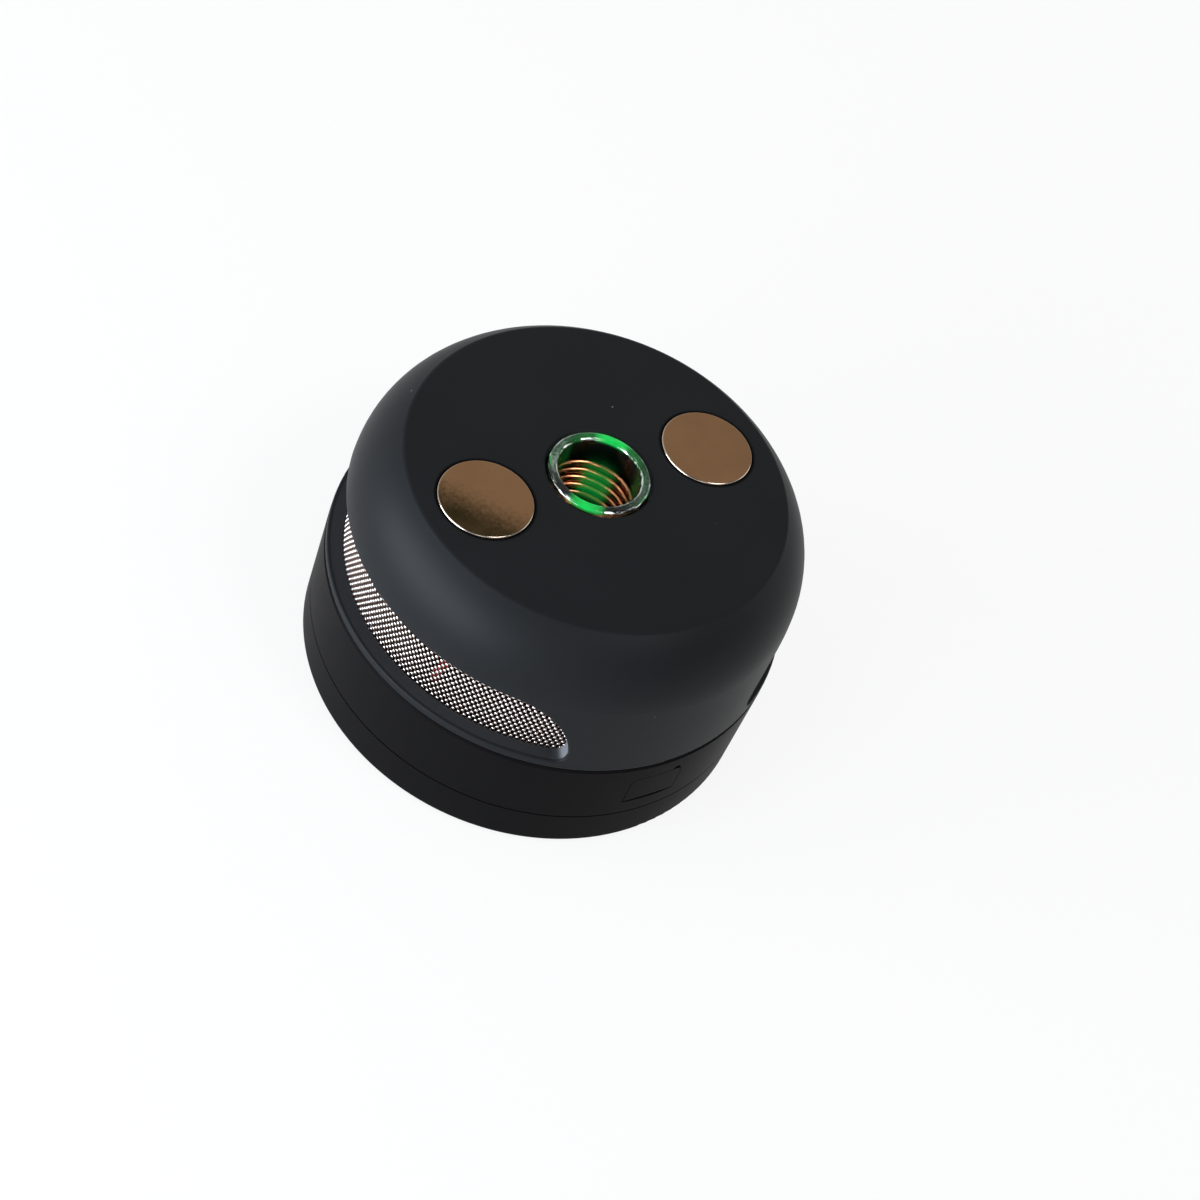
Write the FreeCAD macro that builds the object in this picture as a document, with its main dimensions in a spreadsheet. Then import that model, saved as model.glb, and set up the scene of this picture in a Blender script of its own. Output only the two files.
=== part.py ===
"""Palm-size induction heater: a round housing with a glass-lined well and a copper work coil.

Millimetres. The origin is the middle of the surface it stands on, +Z is up, the two magnets lie
along X and the charging port faces -Y.
"""

import FreeCAD
import Part
import Sketcher

import math
import os
from types import SimpleNamespace

Vector = FreeCAD.Vector
UP = Vector(0, 0, 1)
ACROSS = Vector(1, 0, 0)
ALONG = Vector(0, 1, 0)

# Driving dimensions. Lengths are millimetres and angles are degrees.
SIZES = {
    # Battery pack: three cells side by side, which set the body's width
    "cell_radius": 9.2,
    "cell_length": 65.0,
    "cell_gap": 0.2,
    "cell_headroom": 0.55,
    "cell_end_round": 0.8,
    "pack_clearance": 0.53,
    "cradle_base": 1.2,
    "cradle_height": 5.5,
    "cradle_margin": 2.5,
    "cradle_rim": 0.6,
    "cradle_clearance": 0.05,
    "link_thickness": 0.25,
    "link_half_width": 4.0,
    "lead_radius": 0.9,
    "lead_bend": 4.0,
    "lead_inset": 3.6,
    "lead_hole_clearance": 0.6,
    "lead_landing": 1.6,
    # Housing
    "cover_height": 8.75,
    "seam_gap": 0.35,
    "ring_wall": 2.2,
    "shell_wall": 3.2,
    "shoulder_run": 8.8,
    "shoulder_radius": 19.0,
    "shoulder_wall": 2.0,
    "wall_draft": 4.2,
    "roof_thickness": 2.6,
    "deck_thickness": 2.0,
    "floor_thickness": 2.2,
    "top_edge_round": 0.8,
    "base_edge_round": 1.2,
    "seam_edge_round": 0.4,
    "ring_edge_chamfer": 0.55,
    "tongue_height": 1.2,
    "tongue_thickness": 1.0,
    "tongue_clearance": 0.1,
    "bond_gap": 0.05,
    # Side vents
    "slot_sill": 1.95,
    "slot_height": 14.4,
    "slot_arc_angle": 46.9,
    "slot_corner_round": 2.4,
    "slot_edge_round": 0.4,
    "slot_narrowing": 1.4,
    "mesh_thickness": 0.8,
    "mesh_bar": 0.9,
    "mesh_rim": 0.5,
    "mesh_end_angle": 2.0,
    # Glass-lined well and its seat
    "glass_radius": 9.9,
    "glass_wall": 2.0,
    "glass_length": 22.8,
    "glass_proud": 0.4,
    "glass_rim_round": 0.7,
    "glass_foot_round": 0.3,
    "glass_gap": 0.05,
    "well_clearance": 0.3,
    "well_chamfer": 0.45,
    "seat_clearance": 0.1,
    "seat_lip": 0.5,
    "seat_margin": 0.5,
    "seat_floor": 1.0,
    "seat_bore": 9.5,
    "light_ring_thickness": 1.0,
    "light_ring_width": 1.2,
    "ledge_width": 0.8,
    "led_pocket_depth": 1.9,
    "led_pocket_width": 1.7,
    "led_board_thickness": 1.0,
    "led_board_clearance": 0.1,
    "led_length": 2.0,
    "led_width": 1.1,
    "led_thickness": 0.7,
    "led_angle": 45.0,
    # Trigger in the floor of the well
    "plunger_radius": 4.0,
    "plunger_clearance": 0.1,
    "plunger_skirt": 0.8,
    "plunger_head": 1.2,
    "plunger_edge_round": 0.4,
    "flange_width": 1.2,
    "flange_thickness": 1.0,
    "flange_gap": 0.1,
    "trigger_stroke": 1.5,
    "switch_height": 1.9,
    "switch_body_height": 1.3,
    "switch_gap": 0.1,
    "switch_length": 3.0,
    "switch_width": 4.0,
    "switch_offset": 4.7,
    "switch_button_radius": 0.9,
    "spring_radius": 2.5,
    "spring_wire_radius": 0.2,
    "spring_pitch": 1.2,
    "spring_gap": 0.05,
    # Magnets
    "magnet_radius": 9.0,
    "magnet_thickness": 3.0,
    "magnet_proud": 0.3,
    "magnet_spacing": 48.0,
    "magnet_edge_round": 0.4,
    "magnet_clearance": 0.2,
    "magnet_pad": 1.4,
    "magnet_cup_wall": 1.2,
    # Work coil
    "wire_radius": 0.85,
    "coil_pitch": 2.18,
    "coil_clearance": 0.5,
    "coil_roof_gap": 4.6,
    "coil_seat_gap": 0.3,
    "coil_lead": 17.5,
    "sleeve_clearance": 0.5,
    "sleeve_wall": 0.8,
    "sleeve_roof_gap": 0.3,
    "sleeve_notch_clearance": 0.3,
    "terminal_width": 3.0,
    "terminal_thickness": 2.0,
    # Driver board
    "board_thickness": 1.6,
    "board_margin": 2.2,
    "board_screw_margin": 3.5,
    "board_fan_gap": 1.1,
    "board_hole_clearance": 0.5,
    "standoff_height": 2.0,
    "standoff_radius": 2.4,
    "standoff_front": 36.0,
    "standoff_side_x": 12.5,
    "standoff_side_y": 28.0,
    "capacitor_x": 25.0,
    "capacitor_pitch": 12.5,
    "capacitor_length": 11.0,
    "capacitor_width": 8.0,
    "capacitor_height": 13.0,
    "capacitor_edge_round": 0.8,
    "choke_angle": 45.8,
    "choke_wall_gap": 0.6,
    "choke_ring_radius": 3.9,
    "choke_core_radius": 2.0,
    "mosfet_left": -5.8,
    "mosfet_pitch": 9.6,
    "mosfet_y": 17.6,
    "mosfet_length": 8.6,
    "mosfet_width": 4.2,
    "mosfet_height": 14.0,
    "sink_margin": 0.6,
    "sink_depth": 8.0,
    "sink_back": 2.4,
    "sink_height": 15.0,
    "sink_slot_pitch": 3.9,
    "sink_slot_width": 2.3,
    "chip_x": 4.0,
    "chip_y": -22.0,
    "chip_length": 8.0,
    "chip_thickness": 1.2,
    # Fan
    "fan_size": 24.0,
    "fan_height": 9.0,
    "fan_gap": 0.4,
    "fan_wall_gap": 1.2,
    "fan_floor": 1.2,
    "fan_lid_thickness": 1.0,
    "fan_cavity_radius": 10.6,
    "fan_outlet_left": 6.0,
    "fan_outlet_right": 9.6,
    "fan_inlet_radius": 7.0,
    "fan_screw_inset": 1.9,
    "rotor_radius": 9.4,
    "rotor_hub_radius": 4.4,
    "rotor_plate": 0.8,
    "rotor_floor_gap": 0.4,
    "rotor_lid_gap": 0.6,
    "rotor_vane_thickness": 0.7,
    "rotor_vane_overlap": 0.4,
    "fan_shaft_radius": 1.0,
    "fan_bearing_clearance": 0.05,
    # Charging port
    "port_width": 11.1,
    "port_height": 7.4,
    "port_corner_round": 1.6,
    "port_gap": 0.15,
    "port_recess": 1.85,
    "port_hinge_depth": 0.9,
    "port_hinge_room": 0.15,
    "port_pin_radius": 0.35,
    "port_pin_length": 0.6,
    "port_pin_clearance": 0.05,
    "port_seat_gap": 0.05,
    "port_notch_radius": 0.9,
    "port_notch_inset": 1.5,
    "usb_width": 8.94,
    "usb_height": 3.26,
    "usb_length": 7.35,
    "usb_wall": 0.3,
    "usb_depth": 6.4,
    "usb_tongue_width": 6.7,
    "usb_tongue_thickness": 0.7,
    "usb_tongue_length": 4.6,
    "usb_setback": 0.05,
    "usb_clearance": 0.3,
    "charge_board_width": 20.0,
    "charge_board_thickness": 1.2,
    "charge_board_margin": 1.2,
    "charge_post_radius": 1.9,
    "charge_post_x": 7.8,
    "charge_post_inset": 3.2,
    # Feet and screws
    "foot_proud": 0.6,
    "foot_recess": 0.8,
    "foot_radius": 5.0,
    "foot_clearance": 0.1,
    "cover_screw_x": 17.0,
    "cover_screw_inset": 5.7,
    "cover_boss_radius": 4.5,
    "cover_boss_height": 1.6,
    "ring_boss_radius": 3.3,
    "shell_screw_x": 9.0,
    "shell_screw_inset": 4.1,
    "shell_boss_radius": 3.2,
    "seat_screw_x": 8.0,
    "screw_radius": 1.25,
    "screw_head_radius": 2.4,
    "screw_head_height": 1.2,
    "screw_length": 9.0,
    "screw_slot_width": 0.6,
    "screw_slot_depth": 0.5,
    "screw_clearance": 0.05,
    "head_clearance": 0.2,
    "small_screw_radius": 0.8,
    "small_screw_head_radius": 1.6,
    "small_screw_head_height": 1.0,
    "small_screw_length": 3.4,
}

# Counts
CELLS = 3
CAPACITORS = 3
MOSFETS = 2
LEDS = 2
FAN_VANES = 11
MESH_COLUMNS = 12
MESH_ROWS = 2
SINK_SLOTS = 4
FULL_TURN = 360

# How far a cutting tool runs past the face that it cuts
PAST = 1.0

SAME_PLACE = 1e-4
VOLUME_TOLERANCE = 0.01

# Points along each arc of a wire, and how many wire radii apart two points count as different turns
GAP_STEPS = 6
GAP_APART = 8


class Size:
    """A number of the model, with the sheet expression that it follows."""

    def __init__(self, value, text):
        self.value = value
        self.text = text

    def __add__(self, other):
        other = as_size(other)
        return Size(self.value + other.value, f"({self.text} + {other.text})")

    def __sub__(self, other):
        other = as_size(other)
        return Size(self.value - other.value, f"({self.text} - {other.text})")

    def __mul__(self, other):
        other = as_size(other)
        return Size(self.value * other.value, f"({self.text} * {other.text})")

    def __truediv__(self, other):
        other = as_size(other)
        return Size(self.value / other.value, f"({self.text} / {other.text})")

    def __neg__(self):
        return Size(-self.value, f"(-1 * {self.text})")


def as_size(number):
    if isinstance(number, Size):
        return number
    return Size(float(number), repr(float(number)))


def root(size):
    return Size(math.sqrt(size.value), f"sqrt({size.text})")


def larger(first, second):
    return Size(max(first.value, second.value), f"max({first.text}; {second.text})")


def arc_sine(size):
    """The angle in degrees whose sine is the given ratio."""
    return Size(math.degrees(math.asin(size.value)), f"(asin({size.text}) / 1deg)")


def leg(long_side, other_leg):
    """The other leg of a right triangle, such as a place on a pitch circle from its offset."""
    return root(long_side * long_side - other_leg * other_leg)


doc = FreeCAD.newDocument("induction_heater")


def make_sheet():
    """The sheet of driving dimensions, with the same names as Size values in a namespace."""
    sheet = doc.addObject("Spreadsheet::Sheet", "sizes")
    for row, (name, value) in enumerate(SIZES.items(), 1):
        sheet.set(f"A{row}", name)
        sheet.set(f"B{row}", str(value))
        sheet.setAlias(f"B{row}", name)
    doc.recompute()
    return SimpleNamespace(**{name: Size(value, f"sizes.{name}") for name, value in SIZES.items()})


dim = make_sheet()


def make_layout():
    """Places that several pieces share, worked out from the driving dimensions."""
    at = SimpleNamespace()
    # Across the body
    at.cell_pitch = dim.cell_radius * 2 + dim.cell_gap
    at.pack_half_width = at.cell_pitch + dim.cell_radius
    at.cell_half = dim.cell_length / 2
    at.coil_radius = dim.glass_radius + dim.coil_clearance + dim.wire_radius
    at.sleeve_bore = at.coil_radius + dim.wire_radius + dim.sleeve_clearance
    at.sleeve_outside = at.sleeve_bore + dim.sleeve_wall
    at.seat_radius = at.sleeve_outside + dim.seat_margin
    at.fan_half = dim.fan_size / 2
    at.fan_x = -(at.seat_radius + dim.fan_gap + at.fan_half)
    pack_corner = root(at.cell_half * at.cell_half + at.pack_half_width * at.pack_half_width)
    fan_side = at.fan_half - at.fan_x
    fan_corner = root(fan_side * fan_side + at.fan_half * at.fan_half)
    mesh_depth = dim.shell_wall + dim.bond_gap + dim.mesh_thickness
    at.body_radius = larger(pack_corner + dim.pack_clearance + dim.ring_wall,
                            fan_corner + dim.fan_wall_gap + mesh_depth)
    at.ring_bore = at.body_radius - dim.ring_wall
    at.shell_bore = at.body_radius - dim.shell_wall
    at.top_flat_radius = at.body_radius - dim.shoulder_run
    at.tongue_outside = at.shell_bore - dim.tongue_clearance
    at.tongue_inside = at.tongue_outside - dim.tongue_thickness
    at.mesh_outside = at.shell_bore - dim.bond_gap
    at.mesh_inside = at.mesh_outside - dim.mesh_thickness
    at.board_radius = at.mesh_inside - dim.board_margin
    at.board_half_width = dim.standoff_side_y + dim.board_screw_margin
    at.board_left = at.seat_radius + dim.fan_gap - dim.board_fan_gap
    at.choke_reach = at.mesh_inside - dim.choke_wall_gap - dim.choke_ring_radius - dim.choke_core_radius
    # Up the body, from the surface that it stands on
    at.body_bottom = dim.foot_proud
    at.floor_top = at.body_bottom + dim.floor_thickness
    at.low_seam = at.body_bottom + dim.cover_height
    at.cell_middle = at.floor_top + dim.cradle_base + dim.cell_radius
    at.deck_bottom = at.cell_middle + dim.cell_radius + dim.cell_headroom
    at.deck_top = at.deck_bottom + dim.deck_thickness
    at.switch_top = at.deck_top + dim.switch_height
    at.flange_bottom = at.switch_top + dim.switch_gap + dim.trigger_stroke
    at.flange_top = at.flange_bottom + dim.flange_thickness
    at.guide_bottom = at.flange_top + dim.flange_gap
    at.led_floor = at.guide_bottom + dim.seat_floor
    at.ledge = at.led_floor + dim.led_pocket_depth
    at.glass_bottom = at.ledge + dim.light_ring_thickness + dim.glass_gap
    at.well_floor = at.glass_bottom - dim.well_clearance
    at.seat_top = at.glass_bottom + dim.seat_lip
    at.glass_top = at.glass_bottom + dim.glass_length
    at.top = at.glass_top - dim.glass_proud
    at.roof_bottom = at.top - dim.roof_thickness
    at.shell_bottom = at.deck_top + dim.seam_gap
    at.slot_floor = at.deck_top + dim.slot_sill
    at.slot_top = at.slot_floor + dim.slot_height
    at.board_bottom = at.deck_top + dim.standoff_height
    at.board_top = at.board_bottom + dim.board_thickness
    at.boss_bottom = at.floor_top + dim.cover_boss_height
    # The well, from the middle out
    at.seat_hole = dim.glass_radius + dim.seat_clearance
    at.led_outside = at.seat_hole - dim.ledge_width
    at.led_inside = at.led_outside - dim.led_pocket_width
    at.led_middle = at.led_outside - dim.led_pocket_width / 2
    at.coil_top = at.roof_bottom - dim.coil_roof_gap - dim.wire_radius
    at.magnet_x = dim.magnet_spacing / 2
    at.magnet_bottom = at.top + dim.magnet_proud - dim.magnet_thickness
    # Screw places
    at.cover_screw_y = leg(at.ring_bore - dim.cover_screw_inset, dim.cover_screw_x)
    at.shell_screw_y = leg(at.tongue_inside - dim.shell_screw_inset, dim.shell_screw_x)
    at.seat_screw_y = at.cell_pitch / 2
    # Fan
    at.fan_floor_top = at.deck_top + dim.fan_floor
    at.fan_top = at.deck_top + dim.fan_height
    at.rotor_bottom = at.fan_floor_top + dim.rotor_floor_gap
    at.rotor_height = at.fan_top - dim.rotor_lid_gap - at.rotor_bottom
    at.fan_screw_reach = at.fan_half - dim.fan_screw_inset
    # Port
    at.port_middle = (at.low_seam + at.deck_top) / 2
    at.port_bottom = at.port_middle - dim.port_height / 2
    at.port_hinge_z = at.port_bottom + dim.port_hinge_depth
    at.port_hinge_y = -(at.body_radius - dim.port_hinge_depth)
    at.port_back = -(at.body_radius - dim.port_recess)
    at.usb_front = at.port_back + dim.usb_setback
    at.charge_board_top = at.port_middle - dim.usb_height / 2
    at.charge_post_y = -(at.pack_half_width + dim.charge_post_inset)
    # Power leads run up beside the ends of the pack
    at.lead_x = at.cell_half + dim.link_thickness + dim.bond_gap + dim.lead_radius
    at.lead_y = at.cell_pitch - dim.lead_inset
    return at


at = make_layout()


# The two sides of a mirrored pair
SIDES = (1, -1)


def corners(x, y):
    """The four places that mirror one place in both directions."""
    return [(x * a, y * b) for a in SIDES for b in SIDES]


def place(thing, x=0, y=0, z=0, turn=None):
    """Puts a thing at a place, where each coordinate follows the sheet."""
    thing.Placement = FreeCAD.Placement(Vector(), turn or FreeCAD.Rotation())
    for axis, size in zip("xyz", (x, y, z)):
        thing.setExpression(f"Placement.Base.{axis}", as_size(size).text)
    return thing


def box(length, width, height, x, y, z):
    """A box with its lowest corner at a place."""
    thing = doc.addObject("Part::Box", "block")
    for name, size in (("Length", length), ("Width", width), ("Height", height)):
        thing.setExpression(name, as_size(size).text)
    return place(thing, x, y, z)


def centred_box(length, width, height, x, y, z):
    """A box that stands on z, with its middle over a place."""
    return box(length, width, height, as_size(x) - length / 2, as_size(y) - width / 2, z)


def cylinder(radius, height, x=0, y=0, z=0, turn=None):
    thing = doc.addObject("Part::Cylinder", "round")
    thing.setExpression("Radius", radius.text)
    thing.setExpression("Height", as_size(height).text)
    return place(thing, x, y, z, turn)


def lying(radius, length, x, y, z):
    """A cylinder that lies along X, centred over a place."""
    return cylinder(radius, length, as_size(x) - length / 2, y, z, FreeCAD.Rotation(ALONG, 90))


def tube(outside, inside, height, z):
    """A plain round tube on the well's axis."""
    bore = cylinder(inside, height + 2 * PAST, z=z - PAST)
    return cut(cylinder(outside, height, z=z), bore)


def join(*pieces):
    if len(pieces) == 1:
        return pieces[0]
    thing = doc.addObject("Part::MultiFuse", "joined")
    thing.Shapes = list(pieces)
    thing.Refine = True
    return thing


def cut(base, *tools):
    thing = doc.addObject("Part::Cut", "trimmed")
    thing.Base = base
    thing.Tool = join(*tools)
    thing.Refine = True
    return thing


def shared(first, second):
    thing = doc.addObject("Part::Common", "shared")
    thing.Base = first
    thing.Tool = second
    return thing


def group(*pieces):
    """Several loose solids that count as one piece, such as a set of screws."""
    thing = doc.addObject("Part::Compound", "set_of_pieces")
    thing.Links = list(pieces)
    return thing


def turned(piece, angle):
    """A piece turned about the well's axis."""
    thing = group(piece)
    thing.Placement = FreeCAD.Placement(Vector(), FreeCAD.Rotation(UP, 1))
    thing.setExpression("Placement.Rotation.Angle", as_size(angle).text)
    return thing


def rounded(piece, radius, belongs):
    """A piece with the edges that belong rounded off."""
    doc.recompute()
    thing = doc.addObject("Part::Fillet", "rounded")
    thing.Base = piece
    edges = enumerate(piece.Shape.Edges, 1)
    thing.Edges = [(index, radius.value, radius.value) for index, edge in edges if belongs(edge)]
    return thing


def named(label, piece):
    piece.Label = label
    return piece


def is_straight_along(edge, direction):
    if not isinstance(edge.Curve, Part.Line):
        return False
    return abs(abs(edge.tangentAt(edge.FirstParameter).dot(direction)) - 1) < SAME_PLACE


def is_rim(edge, radius, height):
    """Whether an edge is the circle of a radius and height about its body's own axis."""
    if not isinstance(edge.Curve, Part.Circle):
        return False
    middle = edge.Curve.Center
    near = abs(edge.Curve.Radius - radius.value) + abs(middle.z - as_size(height).value)
    return near + abs(middle.x) + abs(middle.y) < SAME_PLACE


def new_body(label):
    body = doc.addObject("PartDesign::Body", label)
    body.Label = label
    return body


def new_sketch(body, plane="XZ_Plane", height=None):
    """A sketch on one of the body's own planes, raised to a height if one is given."""
    sketch = body.newObject("Sketcher::SketchObject", "outline")
    support = next(feature for feature in body.Origin.OriginFeatures if feature.Role == plane)
    sketch.AttachmentSupport = [(support, "")]
    sketch.MapMode = "FlatFace"
    if height is not None:
        sketch.setExpression("AttachmentOffset.Base.z", as_size(height).text)
    return sketch


def hold(sketch, item, end, x, y):
    """Holds one end of a sketched line at a place that follows the sheet."""
    for kind, size, axis in (("DistanceX", x, -2), ("DistanceY", y, -1)):
        size = as_size(size)
        if size.text == "0.0":
            sketch.addConstraint(Sketcher.Constraint("PointOnObject", item, end, axis))
            continue
        index = sketch.addConstraint(Sketcher.Constraint(kind, -1, 1, item, end, size.value))
        sketch.setExpression(f"Constraints[{index}]", size.text)


def hold_value(sketch, constraint, size):
    index = sketch.addConstraint(constraint)
    sketch.setExpression(f"Constraints[{index}]", size.text)


def chain(sketch, items):
    """Joins sketched items end to end in a closed loop."""
    for item, following in zip(items, items[1:] + items[:1]):
        sketch.addConstraint(Sketcher.Constraint("Coincident", item, 2, following, 1))


def draw(sketch, places):
    """Draws a closed outline of straight lines through the given places."""
    points = [Vector(as_size(x).value, as_size(y).value, 0) for x, y in places]
    lines = [Part.LineSegment(a, b) for a, b in zip(points, points[1:] + points[:1])]
    items = list(sketch.addGeometry(lines, False))
    chain(sketch, items)
    for item, (x, y) in zip(items, places):
        hold(sketch, item, 1, x, y)
    return sketch


def draw_circle(sketch, radius):
    item = sketch.addGeometry(Part.Circle(Vector(), UP, radius.value), False)
    sketch.addConstraint(Sketcher.Constraint("Coincident", item, 3, -1, 1))
    hold_value(sketch, Sketcher.Constraint("Radius", item, radius.value), radius)
    return sketch


def revolve(body, sketch):
    feature = body.newObject("PartDesign::Revolution", "turned_profile")
    feature.Profile = sketch
    feature.ReferenceAxis = (sketch, ["V_Axis"])
    feature.Angle = FULL_TURN
    return feature


def turned_body(label, places):
    """A body of revolution about the well's axis, from the outline of its half section."""
    body = new_body(label)
    revolve(body, draw(new_sketch(body), places))
    return body


def pad(body, sketch, length):
    feature = body.newObject("PartDesign::Pad", "pad")
    feature.Profile = sketch
    feature.setExpression("Length", length.text)
    return feature


def round_rims(body, radius, *rims):
    """Rounds a body's circular edges, each given by its radius and height."""
    doc.recompute()
    base = body.Tip
    edges = enumerate(base.Shape.Edges, 1)
    names = [f"Edge{index}" for index, edge in edges if any(is_rim(edge, *rim) for rim in rims)]
    feature = body.newObject("PartDesign::Fillet", "rounded_rim")
    feature.Base = (base, names)
    feature.setExpression("Radius", radius.text)


def screw(x, y, z, small=False, upward=True):
    """A slotted screw whose head rests at z and whose shank points up, or down."""
    prefix = "small_screw" if small else "screw"
    head_radius, head_height, radius, length = (
        getattr(dim, f"{prefix}_{name}") for name in ("head_radius", "head_height", "radius", "length"))
    head_z = z - head_height if upward else z
    shank_z = z if upward else z - length
    slot_z = head_z - PAST if upward else head_z + head_height - dim.screw_slot_depth
    body = join(cylinder(head_radius, head_height, x, y, head_z), cylinder(radius, length, x, y, shank_z))
    slot = centred_box(head_radius * 2 + 2 * PAST, dim.screw_slot_width, dim.screw_slot_depth + PAST,
                       x, y, slot_z)
    return cut(body, slot)


def screw_hole(x, y, z, height, small=False):
    radius = dim.small_screw_radius if small else dim.screw_radius
    return cylinder(radius + dim.screw_clearance, height, x, y, z)


def biarc(start, start_way, end, end_way):
    """Two arcs that leave a point in one direction and reach another in a second direction."""
    across = end - start
    ways = start_way + end_way
    bend = 2 * (1 - start_way.dot(end_way))
    along = across.dot(ways)
    reach = (math.sqrt(along * along + bend * across.dot(across)) - along) / bend
    middle = (start + start_way * reach + end - end_way * reach) * 0.5
    return [arc_from(start, start_way, middle), arc_from(end, end_way * -1, middle, backward=True)]


def arc_from(start, way, end, backward=False):
    """The arc that leaves a point in a direction and passes through another point."""
    chord = end - start
    half = chord.Length / 2
    forward = chord * (1 / chord.Length)
    aside = way - forward * way.dot(forward)
    rise = half * math.tan(math.asin(min(1, aside.Length)) / 2)
    crest = (start + end) * 0.5 + aside * (rise / aside.Length)
    ends = (end, start) if backward else (start, end)
    return Part.Arc(ends[0], crest, ends[1]).toShape()


def helix_places(radius, pitch, turns, bottom):
    """Points and directions of a rising helix, one for each quarter turn from the +X side."""
    climb = pitch / (2 * math.pi * radius)
    steepness = math.hypot(1, climb)
    places = []
    for step in range(round(turns * 4) + 1):
        angle = step * math.pi / 2
        point = Vector(radius * math.cos(angle), radius * math.sin(angle), bottom + pitch * step / 4)
        way = Vector(-math.sin(angle), math.cos(angle), climb) * (1 / steepness)
        places.append((point, way))
    return places


def helix_path(places):
    path = []
    for (start, start_way), (end, end_way) in zip(places, places[1:]):
        path += biarc(start, start_way, end, end_way)
    return path


def wire_along(path, radius):
    """A round wire along a path of lines and arcs, with its volume compared with its length."""
    start = path[0].valueAt(path[0].FirstParameter)
    way = path[0].tangentAt(path[0].FirstParameter)
    ring = Part.Wire(Part.Circle(start, way, radius).toShape())
    solid = Part.Wire(path).makePipeShell([ring], True, False)
    expected = math.pi * radius * radius * sum(edge.Length for edge in path)
    if abs(solid.Volume / expected - 1) > VOLUME_TOLERANCE:
        raise ValueError("A wire's volume doesn't match its length")
    return solid


def least_gap(path, radius):
    """The least gap between the turns of a wire, measured on points along its path."""
    points = []
    travel = 0.0
    for edge in path:
        span = edge.LastParameter - edge.FirstParameter
        for step in range(GAP_STEPS):
            share = step / GAP_STEPS
            points.append((travel + edge.Length * share, edge.valueAt(edge.FirstParameter + span * share)))
        travel += edge.Length
    apart = GAP_APART * radius
    gaps = [(a - b).Length for i, (s, a) in enumerate(points) for t, b in points[:i] if s - t > apart]
    return min(gaps) - 2 * radius


def shape_piece(label, shape):
    piece = doc.addObject("Part::Feature", label)
    piece.Shape = shape
    piece.Placement = FreeCAD.Placement()
    return named(label, piece)


def shoulder_places(flat, foot):
    """The shoulder arc's centre and its foot on the drafted wall, to start the sketch from."""
    draft = math.radians(dim.wall_draft.value)
    rise = Vector(-math.sin(draft), math.cos(draft), 0)
    inward = Vector(-math.cos(draft), -math.sin(draft), 0)
    radius = dim.shoulder_radius.value
    offset = foot + inward * radius - flat
    lean = offset.dot(rise)
    reach = -lean - math.sqrt(lean * lean - offset.dot(offset) + radius * radius)
    return foot + inward * radius + rise * reach, foot + rise * reach


def shell_outside():
    """The top shell's solid outside: flat top, crisp edge, round shoulder and drafted wall."""
    body = new_body("shell_outside")
    sketch = new_sketch(body)
    low, high = at.shell_bottom, at.top
    flat = Vector(at.top_flat_radius.value, high.value, 0)
    foot = Vector(at.body_radius.value, low.value, 0)
    centre, tangent = shoulder_places(flat, foot)
    angles = [math.atan2(point.y - centre.y, point.x - centre.x) for point in (tangent, flat)]
    circle = Part.Circle(centre, UP, dim.shoulder_radius.value)
    bottom_line = Part.LineSegment(Vector(0, low.value, 0), foot)
    wall_line = Part.LineSegment(foot, tangent)
    shoulder = Part.ArcOfCircle(circle, *angles)
    top_line = Part.LineSegment(flat, Vector(0, high.value, 0))
    axis_line = Part.LineSegment(Vector(0, high.value, 0), Vector(0, low.value, 0))
    items = list(sketch.addGeometry([bottom_line, wall_line, shoulder, top_line, axis_line], False))
    bottom, wall, arc, top, axis = items
    sketch.addConstraint(Sketcher.Constraint("Coincident", bottom, 2, wall, 1))
    sketch.addConstraint(Sketcher.Constraint("Tangent", wall, 2, arc, 1))
    sketch.addConstraint(Sketcher.Constraint("Coincident", arc, 2, top, 1))
    sketch.addConstraint(Sketcher.Constraint("Coincident", top, 2, axis, 1))
    sketch.addConstraint(Sketcher.Constraint("Coincident", axis, 2, bottom, 1))
    hold(sketch, bottom, 1, 0, low)
    hold(sketch, wall, 1, at.body_radius, low)
    hold(sketch, top, 1, at.top_flat_radius, high)
    hold(sketch, axis, 1, 0, high)
    hold_value(sketch, Sketcher.Constraint("Radius", arc, dim.shoulder_radius.value), dim.shoulder_radius)
    lean = dim.wall_draft + 90
    hold_value(sketch, Sketcher.Constraint("Angle", wall, math.radians(lean.value)), lean)
    revolve(body, sketch)
    round_rims(body, dim.top_edge_round, (at.top_flat_radius, high))
    round_rims(body, dim.seam_edge_round, (at.body_radius, low))
    return body


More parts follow.
